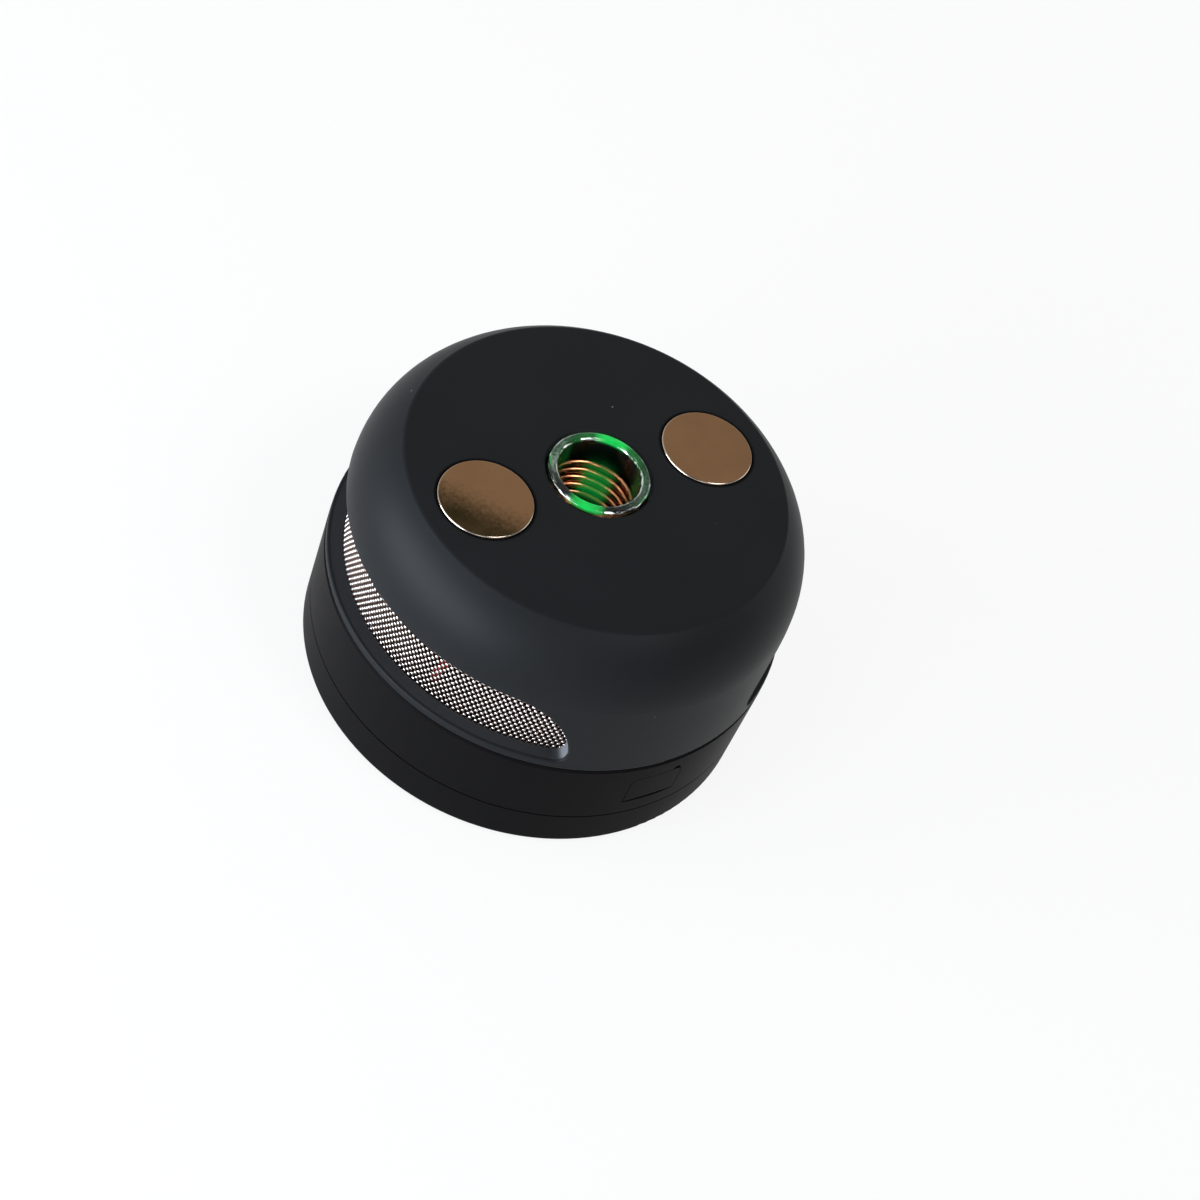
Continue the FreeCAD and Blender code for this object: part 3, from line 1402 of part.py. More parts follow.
def usb_socket():
    """Charging socket: a rounded metal shell with a contact tongue inside."""
    low = at.charge_board_top
    shell = box(dim.usb_width, dim.usb_length, dim.usb_height, -dim.usb_width / 2, at.usb_front, low)
    shell = rounded(shell, dim.usb_height / 2 - dim.usb_wall, lambda edge: is_straight_along(edge, ALONG))
    width, height = dim.usb_width - dim.usb_wall * 2, dim.usb_height - dim.usb_wall * 2
    mouth = box(width, dim.usb_depth + PAST, height, -width / 2, at.usb_front - PAST, low + dim.usb_wall)
    mouth = rounded(mouth, dim.usb_height / 2 - dim.usb_wall * 2,
                    lambda edge: is_straight_along(edge, ALONG))
    back = at.usb_front + dim.usb_depth
    tongue = box(dim.usb_tongue_width, dim.usb_tongue_length + dim.usb_wall, dim.usb_tongue_thickness,
                 -dim.usb_tongue_width / 2, back - dim.usb_tongue_length,
                 at.port_middle - dim.usb_tongue_thickness / 2)
    return named("usb_socket", join(cut(shell, mouth), tongue))


def port_cover():
    """Soft flap flush with the ring, on a round lower edge with a pin at each end."""
    back = at.port_back - dim.port_seat_gap
    depth = back + at.body_radius + PAST
    height = dim.port_height - dim.port_hinge_depth
    plate = box(dim.port_width, depth, height, -dim.port_width / 2, back - depth, at.port_hinge_z)
    plate = rounded(plate, dim.port_corner_round, is_upper_port_corner)
    roll = lying(dim.port_hinge_depth, dim.port_width, 0, at.port_hinge_y, at.port_hinge_z)
    front = box(dim.port_width, depth, dim.port_height, -dim.port_width / 2, back - depth, at.port_bottom)
    outside = cylinder(at.body_radius, dim.port_height + 2 * PAST, z=at.port_bottom - PAST)
    flap = shared(join(plate, shared(roll, front)), outside)
    pins = lying(dim.port_pin_radius, dim.port_width + dim.port_pin_length * 2, 0, at.port_hinge_y,
                 at.port_hinge_z)
    return named("port_cover", join(flap, pins))


def make_pieces():
    return [
        top_shell(), lower_ring(), base_cover(), rubber_feet(),
        cover_screws(), shell_screws(), seat_screws(),
        vent_mesh("vent_mesh_right", 0), vent_mesh("vent_mesh_left", FULL_TURN / 2),
        magnet("magnet_right", 1), magnet("magnet_left", -1),
        glass_tube(), light_ring(), drilled_seat(), led_board(), led_chips(),
        trigger_plunger(), trigger_spring(), trigger_switch(),
        induction_coil(), coil_sleeve(), coil_terminals(),
        driver_board(), board_screws(), capacitors(), chokes(), mosfets(), heat_sink(), control_chip(),
        fan_housing(), fan_lid(), fan_screws(), fan_shaft(), fan_rotor(),
        battery_cells(), battery_cradle(), cell_links(), power_leads(),
        charge_board(), charge_screws(), usb_socket(), port_cover(),
    ]


def check(pieces):
    """Stops on any object that failed, or any piece without sound solids."""
    for thing in doc.Objects:
        if {"Invalid", "Error"} & set(thing.State):
            raise ValueError(f"{thing.Name} ({thing.Label}) failed: {thing.State}")
    for piece in pieces:
        if piece.Shape.isNull() or not piece.Shape.isValid() or not piece.Shape.Solids:
            raise ValueError(f"{piece.Label} has no sound solid")


def write(pieces):
    os.makedirs("parts", exist_ok=True)
    for piece in pieces:
        piece.Shape.exportStep(f"parts/{piece.Label}.step")
        print(piece.Label, len(piece.Shape.Solids), round(piece.Shape.Volume, 1))


def main():
    pieces = make_pieces()
    doc.recompute()
    check(pieces)
    write(pieces)


main()
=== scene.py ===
"""Looks of a palm-size induction heater: woven vents, copper winding, finishes and a pale studio."""

import math

import bpy
from mathutils import Matrix, Vector


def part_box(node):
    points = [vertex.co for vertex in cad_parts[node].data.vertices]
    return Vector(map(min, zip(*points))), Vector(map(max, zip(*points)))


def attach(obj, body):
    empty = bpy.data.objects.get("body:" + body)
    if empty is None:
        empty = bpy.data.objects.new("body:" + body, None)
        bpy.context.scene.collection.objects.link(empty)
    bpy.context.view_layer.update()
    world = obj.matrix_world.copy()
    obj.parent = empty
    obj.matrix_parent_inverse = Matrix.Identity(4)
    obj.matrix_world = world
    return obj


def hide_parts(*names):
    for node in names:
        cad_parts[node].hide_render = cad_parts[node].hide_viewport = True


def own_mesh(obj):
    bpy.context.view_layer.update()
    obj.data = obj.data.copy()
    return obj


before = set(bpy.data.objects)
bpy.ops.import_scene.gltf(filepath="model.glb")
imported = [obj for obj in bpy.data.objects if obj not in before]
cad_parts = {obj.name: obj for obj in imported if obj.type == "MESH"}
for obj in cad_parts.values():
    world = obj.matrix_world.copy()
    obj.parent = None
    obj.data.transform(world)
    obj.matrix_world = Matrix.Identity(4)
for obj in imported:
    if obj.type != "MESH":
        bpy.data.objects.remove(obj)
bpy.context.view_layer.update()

bl_info = {
    "name": "Palm heater looks",
    "version": (1, 0, 0),
    "blender": (4, 5, 0),
    "location": "View3D > Sidebar > Heater",
    "description": "Dresses the packed heater with woven vents, a copper winding and finishes",
    "category": "Object",
}

MM = 0.001
BAND_LOW, BAND_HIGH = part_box("vent_mesh_right")
COIL_LOW, COIL_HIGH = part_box("induction_coil")
SPRING_LOW, SPRING_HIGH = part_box("trigger_spring")
CHOKE_LOW, CHOKE_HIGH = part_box("chokes")
SHELL_LOW, SHELL_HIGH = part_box("top_shell")
MAGNET_LOW, MAGNET_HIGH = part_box("magnet_right")
GLASS_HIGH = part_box("glass_tube")[1]

WALL_LEAN = math.tan(math.radians(4.2))
GLASS_WALL = 2.0 * MM
MAGNET_RADIUS = (MAGNET_HIGH.x - MAGNET_LOW.x) / 2
MAGNET_REACH = (MAGNET_HIGH.x + MAGNET_LOW.x) / 2
WORN_SIDE = Vector((-0.75, -0.66))

STEEL = (0.6, 0.6, 0.62)
# Painted highlight of the mesh's knuckles, then painted shade for its valleys, one plain and one dusty.
KNUCKLE_HIGHLIGHT_STEEL = (0.93, 0.88, 0.855)
PLAIN_VALLEY_SHADE = (0.05, 0.03, 0.024)
DUSTY_VALLEY_SHADE = (0.12, 0.07, 0.05)
DULL_BLACK = (0.012, 0.012, 0.013)
# Bare plastic of the slot walls, lightened as a painted highlight.
BARE_PLASTIC_HIGHLIGHT = (0.085, 0.088, 0.095)
DUST = (0.32, 0.33, 0.34)
# Magnet rim colour: partly edge wear, partly a painted highlight.
RIM_WEAR_AND_HIGHLIGHT = (0.5, 0.42, 0.35)
WORN_PLATE = (0.04, 0.03, 0.012)
TINNED_PAD = (0.62, 0.6, 0.55)
CLEAR_GLASS = (0.97, 0.99, 0.98)
PALE_LENS = (0.5, 0.6, 0.52)
UNLIT = (0.0, 0.0, 0.0)

BODY_MIDDLE = Vector((0.0, 0.0, 0.04))
KEY_COLOUR = (0.82, 0.9, 1.0)
SKY_COLOUR = (0.97, 0.985, 1.0, 1.0)
SKY_LEVEL = 0.68
SKY_SLOPE = Vector((-0.22, 0.24))
OVERHEAD_DIMMING = 0.24
DARKEST_SKY = 0.02
FLOOR_HALF = 12.0
FLOOR_PAINT = (0.7, 0.7, 0.7, 1.0)
FLOOR_GLOW_SHARE = 0.86

# Each soft box: its direction, its half angle in degrees and the strength that it adds to the sky.
SOFT_BOXES = (
    (Vector((0.20, -0.55, 0.81)), 12.0, 8.0),
    (Vector((-0.47, 0.06, 0.88)), 9.0, 1.6),
    (Vector((-0.37, -0.73, 0.57)), 8.0, 2.0),
    (Vector((-0.34, -0.34, 0.88)), 21.0, -0.4),
)


class VentSizes(bpy.types.PropertyGroup):
    """The woven wire behind the vent slots"""
    across: bpy.props.FloatProperty(
        name="Pitch across", description="Distance between knuckles along a row",
        default=1.16 * MM, unit="LENGTH")
    up: bpy.props.FloatProperty(
        name="Pitch up", description="Distance between rows of knuckles", default=0.9 * MM, unit="LENGTH")
    wire_radius: bpy.props.FloatProperty(
        name="Wire radius", description="Radius of one wire", default=0.17 * MM, unit="LENGTH")
    weave: bpy.props.FloatProperty(
        name="Weave", description="How far a wire goes over and under its neighbours",
        default=0.17 * MM, unit="LENGTH")
    knuckle: bpy.props.FloatVectorProperty(
        name="Knuckle", description="Half the width, depth and height of a pressed crossing",
        default=(0.33 * MM, 0.13 * MM, 0.31 * MM), unit="LENGTH")


class WindingSizes(bpy.types.PropertyGroup):
    """The copper winding, the trigger's spring and the chokes"""
    turns: bpy.props.FloatProperty(
        name="Turns", description="Turns of the winding round the glass", default=5.5)
    wire_radius: bpy.props.FloatProperty(
        name="Wire radius", description="Radius of the winding's copper",
        default=0.85 * MM, unit="LENGTH")
    spring_turns: bpy.props.FloatProperty(
        name="Spring turns", description="Turns of the trigger's spring", default=5.0)
    spring_wire_radius: bpy.props.FloatProperty(
        name="Spring wire radius", description="Radius of the spring's wire",
        default=0.2 * MM, unit="LENGTH")
    stroke: bpy.props.FloatProperty(
        name="Trigger stroke", description="How far the trigger goes down",
        default=1.5 * MM, unit="LENGTH")
    choke_turns: bpy.props.IntProperty(
        name="Choke turns", description="Turns of wire round one choke", default=20)
    choke_wire_radius: bpy.props.FloatProperty(
        name="Choke wire radius", description="Radius of a choke's wire",
        default=0.35 * MM, unit="LENGTH")


class FinishColours(bpy.types.PropertyGroup):
    """Colours of the main finishes"""
    shell: bpy.props.FloatVectorProperty(
        name="Shell", description="Soft-touch coating of the top shell", subtype="COLOR",
        default=(0.0088, 0.0096, 0.0106))
    ring: bpy.props.FloatVectorProperty(
        name="Ring", description="Moulded ring and base cover", subtype="COLOR",
        default=(0.0042, 0.0040, 0.0043))
    plate: bpy.props.FloatVectorProperty(
        name="Magnet plating", description="Plating of the two magnets", subtype="COLOR",
        default=(0.352, 0.190, 0.092))
    copper: bpy.props.FloatVectorProperty(
        name="Copper", description="Bare copper of the winding", subtype="COLOR",
        default=(0.86, 0.36, 0.17))
    lamp: bpy.props.FloatVectorProperty(
        name="Lamp", description="Light of the lamps under the glass", subtype="COLOR",
        default=(0.0, 0.85, 0.12))


class StageSettings(bpy.types.PropertyGroup):
    """Camera and studio"""
    azimuth: bpy.props.FloatProperty(
        name="Azimuth", description="Camera's turn round the part, from -Y", subtype="ANGLE",
        default=math.radians(-47.345))
    elevation: bpy.props.FloatProperty(
        name="Elevation", description="Camera's height as an angle", subtype="ANGLE",
        default=math.radians(48.952))
    roll: bpy.props.FloatProperty(
        name="Roll", description="Camera's roll", subtype="ANGLE", default=math.radians(24.632))
    distance: bpy.props.FloatProperty(
        name="Distance", description="Camera's distance from the top face's plane through its middle",
        default=0.40996, unit="LENGTH")
    lens: bpy.props.FloatProperty(
        name="Lens", description="Focal length for a 36 mm sensor, in millimetres", default=66.798)
    aim_across: bpy.props.FloatProperty(
        name="Aim across", description="Top face's middle in the picture, rightwards from the centre",
        default=-0.000328)
    aim_up: bpy.props.FloatProperty(
        name="Aim up", description="Top face's middle in the picture, upwards from the centre",
        default=0.105753)
    key_power: bpy.props.FloatProperty(
        name="Key light", description="Power of the low soft light on the left",
        default=9.0, unit="POWER")
    fill_power: bpy.props.FloatProperty(
        name="Fill light", description="Power of the soft light on the right", default=0.8, unit="POWER")


class Wire:
    """One output of a node, with arithmetic that adds Math nodes to its tree."""

    def __init__(self, graph, socket):
        self.graph = graph
        self.socket = socket

    def maths(self, operation, *values):
        return self.graph.add("ShaderNodeMath", {"operation": operation}, dict(enumerate(values)))

    def __add__(self, other):
        return self.maths("ADD", self, other)

    __radd__ = __add__

    def __mul__(self, other):
        return self.maths("MULTIPLY", self, other)

    __rmul__ = __mul__

    def __sub__(self, other):
        return self.maths("SUBTRACT", self, other)

    def __rsub__(self, other):
        return self.maths("SUBTRACT", other, self)

    def __truediv__(self, other):
        return self.maths("DIVIDE", self, other)

    def __pow__(self, other):
        return self.maths("POWER", self, other)

    def __abs__(self):
        return self.maths("ABSOLUTE", self)

    def __gt__(self, other):
        return self.maths("GREATER_THAN", self, other)

    def __lt__(self, other):
        return self.maths("LESS_THAN", self, other)

    def at_least(self, other):
        """The larger of two values, which is also either of two masks."""
        return self.maths("MAXIMUM", self, other)

    def ceiling(self):
        return self.maths("CEIL", self)

    def cosine(self):
        return self.maths("COSINE", self)

    def sine(self):
        return self.maths("SINE", self)

    def turn_to(self, other):
        """The angle of the point whose height is this value and whose reach is the other."""
        return self.maths("ARCTAN2", self, other)

    def between(self, low, high):
        """From 0 at low to 1 at high, held level outside."""
        settings = {"clamp": True, "interpolation_type": "SMOOTHSTEP"}
        return self.graph.add("ShaderNodeMapRange", settings,
                              {"Value": self, "From Min": low, "From Max": high})


class Graph:
    """The nodes of one tree, added one at a time."""

    def __init__(self, tree):
        self.tree = tree

    def feed(self, socket, value):
        if isinstance(value, Wire):
            self.tree.links.new(value.socket, socket)
        elif isinstance(value, list):
            for item in value:
                self.feed(socket, item)
        else:
            socket.default_value = value

    def add(self, kind, settings=None, sockets=None, output=0):
        """Adds a node, with its settings first and then its sockets, and gives one of its outputs."""
        node = self.tree.nodes.new(kind)
        for name, value in (settings or {}).items():
            setattr(node, name, value)
        for name, value in (sockets or {}).items():
            self.feed(node.inputs[name], value)
        return Wire(self, node.outputs[output]) if len(node.outputs) else None

    def vector(self, x=0.0, y=0.0, z=0.0):
        return self.add("ShaderNodeCombineXYZ", None, {0: x, 1: y, 2: z})

    def parts_of(self, vector):
        """The three coordinates of a vector."""
        node = self.tree.nodes.new("ShaderNodeSeparateXYZ")
        self.feed(node.inputs[0], vector)
        return [Wire(self, output) for output in node.outputs]


class Finish(Graph):
    """A procedural material on the piece's own coordinates."""

    def __init__(self, name):
        self.material = bpy.data.materials.new(name)
        self.material.use_nodes = True
        super().__init__(self.material.node_tree)
        self.tree.nodes.clear()
        self.shader = self.tree.nodes.new("ShaderNodeBsdfPrincipled")
        output = self.tree.nodes.new("ShaderNodeOutputMaterial")
        self.tree.links.new(self.shader.outputs[0], output.inputs["Surface"])
        self.place = self.add("ShaderNodeTexCoord", None, None, "Object")

    def set(self, **sockets):
        """Feeds the shader's sockets, named in lower case with underscores."""
        for name, value in sockets.items():
            title = name.replace("_", " ").title().replace("Ior", "IOR")
            if isinstance(value, tuple) and len(value) == 3:
                value = (*value, 1.0)
            self.feed(self.shader.inputs[title], value)

    def noise(self, grain, detail=2.0, place=None):
        """Cloudy noise from 0 to 1, whose lumps are about one grain across."""
        return self.add("ShaderNodeTexNoise", None,
                        {"Vector": place or self.place, "Scale": 1 / grain, "Detail": detail})

    def cells(self, grain, feature="F1"):
        """Distance from the nearest of many scattered points, in shares of a cell."""
        return self.add("ShaderNodeTexVoronoi", {"feature": feature},
                        {"Vector": self.place, "Scale": 1 / grain})

    def from_axis(self):
        """Distance from the body's upright axis."""
        x, y, _ = self.parts_of(self.place)
        return (x * x + y * y) ** 0.5

    def stretched(self, x, y, z):
        """The piece's coordinates, stretched by a factor along each axis."""
        return self.add("ShaderNodeMapping", None, {"Vector": self.place, "Scale": (x, y, z)})

    def mix(self, share, first, second):
        """A colour between two colours, which are a Mix node's inputs 6 and 7, from its output 2."""
        first, second = [colour if isinstance(colour, Wire) else (*colour, 1.0)
                         for colour in (first, second)]
        return self.add("ShaderNodeMix", {"data_type": "RGBA"}, {0: share, 6: first, 7: second}, 2)

    def bump(self, height, depth):
        self.set(normal=self.add("ShaderNodeBump", None,
                                 {"Height": height, "Distance": depth, "Strength": 1.0}))


def shade(colour, factor):
    return tuple(min(1.0, part * factor) for part in colour)


def moulded(name, colour, roughness, grain=0.25 * MM, gloss=0.3):
    """Moulded plastic or rubber with a fine texture and faint handling marks."""
    finish = Finish(name)
    smudge = finish.noise(14 * MM, 4.0)
    texture = finish.noise(grain, 3.0)
    cloud = smudge * 0.6 + texture * 0.4
    finish.set(base_color=finish.mix(cloud, shade(colour, 0.8), shade(colour, 1.3)),
               roughness=roughness - 0.06 + smudge * 0.12, specular_ior_level=gloss)
    finish.bump(texture, 0.012 * MM)
    return finish.material


def from_magnet(finish):
    """Distance from the axis of the nearer magnet."""
    x, y, _ = finish.parts_of(finish.place)
    beside = abs(x) - MAGNET_REACH
    return (beside * beside + y * y) ** 0.5


def soft_touch(name, colour, bare_highlight_colour):
    """Soft-touch coating, deep and dull, with dusty grain, a few specks, and bare plastic in the slots
    painted lighter as a highlight and darker towards the sill as painted shade.
    """
    finish = Finish(name)
    smudge = finish.noise(22 * MM, 5.0)
    grain = finish.noise(0.22 * MM, 3.0)
    speck = finish.cells(9 * MM).between(0.022, 0.014)
    coat = finish.mix(smudge * 0.7 + grain * 0.3, shade(colour, 0.82), shade(colour, 1.25))
    coat = finish.mix(speck * 0.5, coat, DUST)
    z = finish.parts_of(finish.place)[2]
    seam = from_magnet(finish).between(MAGNET_RADIUS + 0.7 * MM, MAGNET_RADIUS + 0.4 * MM)
    coat = finish.mix(seam * (z > MAGNET_LOW.z), coat, shade(colour, 0.1))
    depth = SHELL_HIGH.x - (z - SHELL_LOW.z) * WALL_LEAN - finish.from_axis()
    slot_wall_face = depth.between(0.5 * MM, 0.8 * MM)
    below_slot_top = z.between(BAND_HIGH.z + 1.5 * MM, BAND_HIGH.z + 0.5 * MM)
    above_sill = z.between(BAND_LOW.z + 0.7 * MM, BAND_LOW.z + 1.6 * MM)
    # Painted highlight and shade: the slot walls are lightened as if lit, and darkened towards the sill
    # as painted shade.
    plastic = finish.mix(above_sill, shade(bare_highlight_colour, 0.25), shade(bare_highlight_colour, 1.35))
    finish.set(base_color=finish.mix(slot_wall_face * below_slot_top, coat, plastic),
               roughness=0.4 + smudge * 0.1 + speck * 0.2, specular_ior_level=0.08)
    finish.bump(grain, 0.01 * MM)
    return finish.material


def metal(name, colour, roughness, lay=(1.0, 1.0, 1.0)):
    """Bare metal with fine drawn or polished marks along one direction."""
    finish = Finish(name)
    marks = finish.noise(0.3 * MM, 3.0, finish.stretched(*lay))
    cloud = finish.noise(5 * MM, 3.0)
    finish.set(base_color=finish.mix(cloud, shade(colour, 0.85), shade(colour, 1.12)), metallic=1.0,
               roughness=roughness - 0.04 + marks * 0.06 + cloud * 0.04)
    finish.bump(marks, 0.004 * MM)
    return finish.material


def plating(name, colour):
    """Polished plating with hairlines, dull pits, a rim lightened partly by edge wear and partly as a
    painted highlight, and a worn patch on the left magnet.
    """
    finish = Finish(name)
    x, y, _ = finish.parts_of(finish.place)
    beside = x + MAGNET_REACH
    # The rim is lightened partly as edge wear and partly as a painted highlight.
    rim = from_magnet(finish).between(MAGNET_RADIUS - 0.3 * MM, MAGNET_RADIUS - 0.1 * MM)
    mottle = finish.noise(0.7 * MM, 4.0)
    toward_patch = beside * WORN_SIDE.x + y * WORN_SIDE.y + (mottle - 0.5) * 6.0 * MM
    worn = toward_patch.between(-1.5 * MM, 6.5 * MM) * (x < 0.0)
    cloud = finish.noise(7 * MM, 4.0)
    hair = finish.noise(0.5 * MM, 2.0, finish.stretched(0.06, 1.0, 1.0))
    patch = (finish.noise(3 * MM, 4.0) + worn * 0.35).between(0.6, 0.75)
    pits = finish.cells(0.6 * MM).between(0.3, 0.1) * patch
    tint = finish.mix(cloud, shade(colour, 0.86), shade(colour, 1.14))
    pitted = finish.mix(pits * 0.7, tint, shade(colour, 0.35))
    face = finish.mix(worn * (0.6 + cloud * 0.6), pitted, WORN_PLATE)
    finish.set(base_color=finish.mix(rim, face, RIM_WEAR_AND_HIGHLIGHT), metallic=1.0,
               roughness=0.1 + hair * 0.08 + pits * 0.25 + cloud * 0.04)
    finish.bump(hair * 0.4 - pits, 0.003 * MM)
    return finish.material


def over_lamps(finish, wide, narrow):
    """From 1 over the two lamps, which lie on the diagonal through +X and +Y, to 0 away from them."""
    x, y, _ = finish.parts_of(finish.place)
    toward = abs(x + y) / (finish.from_axis() * math.sqrt(2.0))
    return toward.between(math.cos(wide), math.cos(narrow))


def lit_glass(name, lamp):
    """Clear glass whose wall and edge show the light of two lamps under it as a painted glow, with glints
    on its rim.
    """
    finish = Finish(name)
    x, y, z = finish.parts_of(finish.place)
    reach, down = finish.from_axis(), GLASS_HIGH.z - z
    rim = down.between(0.9 * MM, 0.3 * MM)
    wall = down.between(5.0 * MM, 11.0 * MM) * down.between(18.0 * MM, 15.0 * MM)
    streak = over_lamps(finish, wide=math.radians(26), narrow=math.radians(8))
    flow = finish.noise(1.2 * MM, 2.0, finish.stretched(1.0, 1.0, 0.15))
    # Painted glow: the lamps' light on the wall and along the rim is painted in as emission.
    glow = streak * (wall * 0.085 + rim * 0.6) * (0.55 + flow * 0.7)
    round_rim = finish.vector(y.turn_to(x) * 2.5 * MM, reach, z)
    edge = abs(reach - GLASS_HIGH.x + GLASS_WALL / 2).between(GLASS_WALL * 0.2, GLASS_WALL * 0.4)
    glint = rim * edge * finish.noise(0.6 * MM, 3.0, round_rim).between(0.46, 0.6)
    finish.set(base_color=CLEAR_GLASS, roughness=0.02, ior=1.47, transmission_weight=1.0,
               metallic=glint * (1.0 - streak), emission_color=finish.mix(glow, UNLIT, lamp),
               emission_strength=1.0)
    finish.bump(finish.noise(0.9 * MM, 3.0) * (0.08 + rim * 0.92), 0.2 * MM)
    return finish.material


def glowing(name, lamp, strength):
    """A lamp's lens, glowing as a lamp, and a clear ring over the lamps, with a painted glow where the
    lamps are.
    """
    finish = Finish(name)
    grain = finish.noise(0.3 * MM)
    lit = over_lamps(finish, wide=math.radians(14), narrow=math.radians(5)) * (0.8 + grain * 0.2)
    finish.set(base_color=finish.mix(grain, shade(lamp, 0.3), PALE_LENS), roughness=0.3,
               emission_color=finish.mix(lit, UNLIT, lamp), emission_strength=strength)
    return finish.material


def knuckled_wire(name, inside, outside):
    """Woven wire round the body's axis: polished and lightened as a painted highlight on its outer
    knuckles, darkened between them as painted shade with a dusty tone.
    """
    finish = Finish(name)
    # Painted highlight on the outer knuckles and painted shade in the valleys between them.
    knuckle = finish.from_axis().between(inside, outside)
    dust = finish.noise(5 * MM, 3.0)
    valley_shade = finish.mix(dust, PLAIN_VALLEY_SHADE, DUSTY_VALLEY_SHADE)
    finish.set(base_color=finish.mix(knuckle, valley_shade, KNUCKLE_HIGHLIGHT_STEEL), metallic=1.0,
               roughness=0.5 - knuckle * 0.25)
    return finish.material


def copper(name, colour):
    """Bare copper wire with drawing marks and a little heat tint."""
    finish = Finish(name)
    tint = finish.noise(3 * MM, 3.0)
    marks = finish.noise(0.25 * MM, 2.0, finish.stretched(1.0, 1.0, 5.0))
    finish.set(base_color=finish.mix(tint.between(0.35, 0.75), colour, shade(colour, 0.55)), metallic=1.0,
               roughness=0.1 + tint * 0.06 + marks * 0.04)
    finish.bump(marks, 0.004 * MM)
    return finish.material


def circuit_board(name, colour):
    """Green solder mask over copper tracks, with pale pads."""
    finish = Finish(name)
    tracks = finish.cells(3.2 * MM, "DISTANCE_TO_EDGE").between(0.05, 0.09)
    pads = finish.cells(2.4 * MM).between(0.2, 0.14) * finish.noise(9 * MM).between(0.5, 0.56)
    mask = finish.mix(tracks, shade(colour, 1.6), colour)
    finish.set(base_color=finish.mix(pads, mask, TINNED_PAD), metallic=pads * 0.8,
               roughness=0.32 + pads * 0.1)
    finish.bump(tracks * 0.5 + pads, 0.03 * MM)
    return finish.material


def cell_sleeve(name, colour):
    """Shrunk plastic sleeve on a cell, with its faint wrinkles."""
    finish = Finish(name)
    wrinkle = finish.noise(2 * MM, 3.0, finish.stretched(3.0, 1.0, 1.0))
    finish.set(base_color=finish.mix(wrinkle, shade(colour, 0.85), shade(colour, 1.15)),
               roughness=0.25 + wrinkle * 0.1)
    finish.bump(wrinkle, 0.03 * MM)
    return finish.material


def dress(material, *nodes):
    """Gives CAD nodes a material in place of their plain one."""
    for node in nodes:
        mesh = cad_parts[node].data
        mesh.materials.clear()
        mesh.materials.append(material)


def new_piece(name, mesh):
    piece = bpy.data.objects.new(name, mesh)
    bpy.context.scene.collection.objects.link(piece)
    return piece


def frozen(source, name):
    """A plain mesh piece of what an object's modifiers or bevel make, in place of that object."""
    bpy.context.view_layer.update()
    graph = bpy.context.evaluated_depsgraph_get()
    mesh = bpy.data.meshes.new_from_object(source.evaluated_get(graph), depsgraph=graph)
    mesh.name = name
    data = source.data
    bpy.data.objects.remove(source)
    if data.users == 0 and isinstance(data, bpy.types.Curve):
        bpy.data.curves.remove(data)
    return new_piece(name, mesh)


def grown(tree, name, sizes):
    """A plain mesh piece that a geometry tree makes from its sizes."""
    holder = new_piece(name + ".holder", bpy.data.meshes.new(name + ".holder"))
    modifier = holder.modifiers.new("Grow", "NODES")
    modifier.node_group = tree.tree
    for socket in tree.tree.interface.items_tree:
        if socket.in_out == "INPUT" and socket.name in sizes:
            modifier[socket.identifier] = sizes[socket.name]
    return frozen(holder, name)


def round_wire(name, points, radius, sides, material):
    """A round wire along a line of points, with closed ends."""
    curve = bpy.data.curves.new(name, "CURVE")
    curve.dimensions = "3D"
    curve.bevel_depth = radius
    curve.bevel_resolution = sides // 4 - 1
    curve.use_fill_caps = True
    spline = curve.splines.new("POLY")
    spline.points.add(len(points) - 1)
    for point, place in zip(spline.points, points):
        point.co = (*place, 1.0)
    spline.use_smooth = True
    piece = frozen(new_piece(name + ".line", curve), name)
    piece.data.materials.clear()
    piece.data.materials.append(material)
    return piece


def helix(radius, turns, bottom, top, steps_per_turn):
    """Points of a helix that starts on the +X side and rises anticlockwise."""
    steps = round(turns * steps_per_turn)
    points = []
    for step in range(steps + 1):
        angle = 2 * math.pi * turns * step / steps
        points.append(Vector((radius * math.cos(angle), radius * math.sin(angle),
                              bottom + (top - bottom) * step / steps)))
    return points


class GeometryTree(Graph):
    """A geometry tree with named inputs for its sizes."""

    def __init__(self, name):
        super().__init__(bpy.data.node_groups.new(name, "GeometryNodeTree"))
        self.tree.interface.new_socket("Geometry", in_out="OUTPUT", socket_type="NodeSocketGeometry")
        self.source = self.tree.nodes.new("NodeGroupInput")
        self.result = self.tree.nodes.new("NodeGroupOutput")

    def size(self, name, kind="NodeSocketFloat"):
        self.tree.interface.new_socket(name, in_out="INPUT", socket_type=kind)
        return Wire(self, self.source.outputs[name])

    def finish(self, geometry, material):
        """Realises the instances, sets the material and ends the tree."""
        plain = self.add("GeometryNodeRealizeInstances", None, {"Geometry": geometry})
        smooth = self.add("GeometryNodeSetShadeSmooth", None, {"Geometry": plain, "Shade Smooth": True})
        if material is not None:
            smooth = self.add("GeometryNodeSetMaterial", None, {"Geometry": smooth, "Material": material})
        self.feed(self.result.inputs["Geometry"], smooth)
        return self

    def round_bar(self, curve, radius, sides):
        profile = self.add("GeometryNodeCurvePrimitiveCircle", {"mode": "RADIUS"},
                           {"Resolution": sides, "Radius": radius})
        return self.add("GeometryNodeCurveToMesh", None,
                        {"Curve": curve, "Profile Curve": profile, "Fill Caps": True})


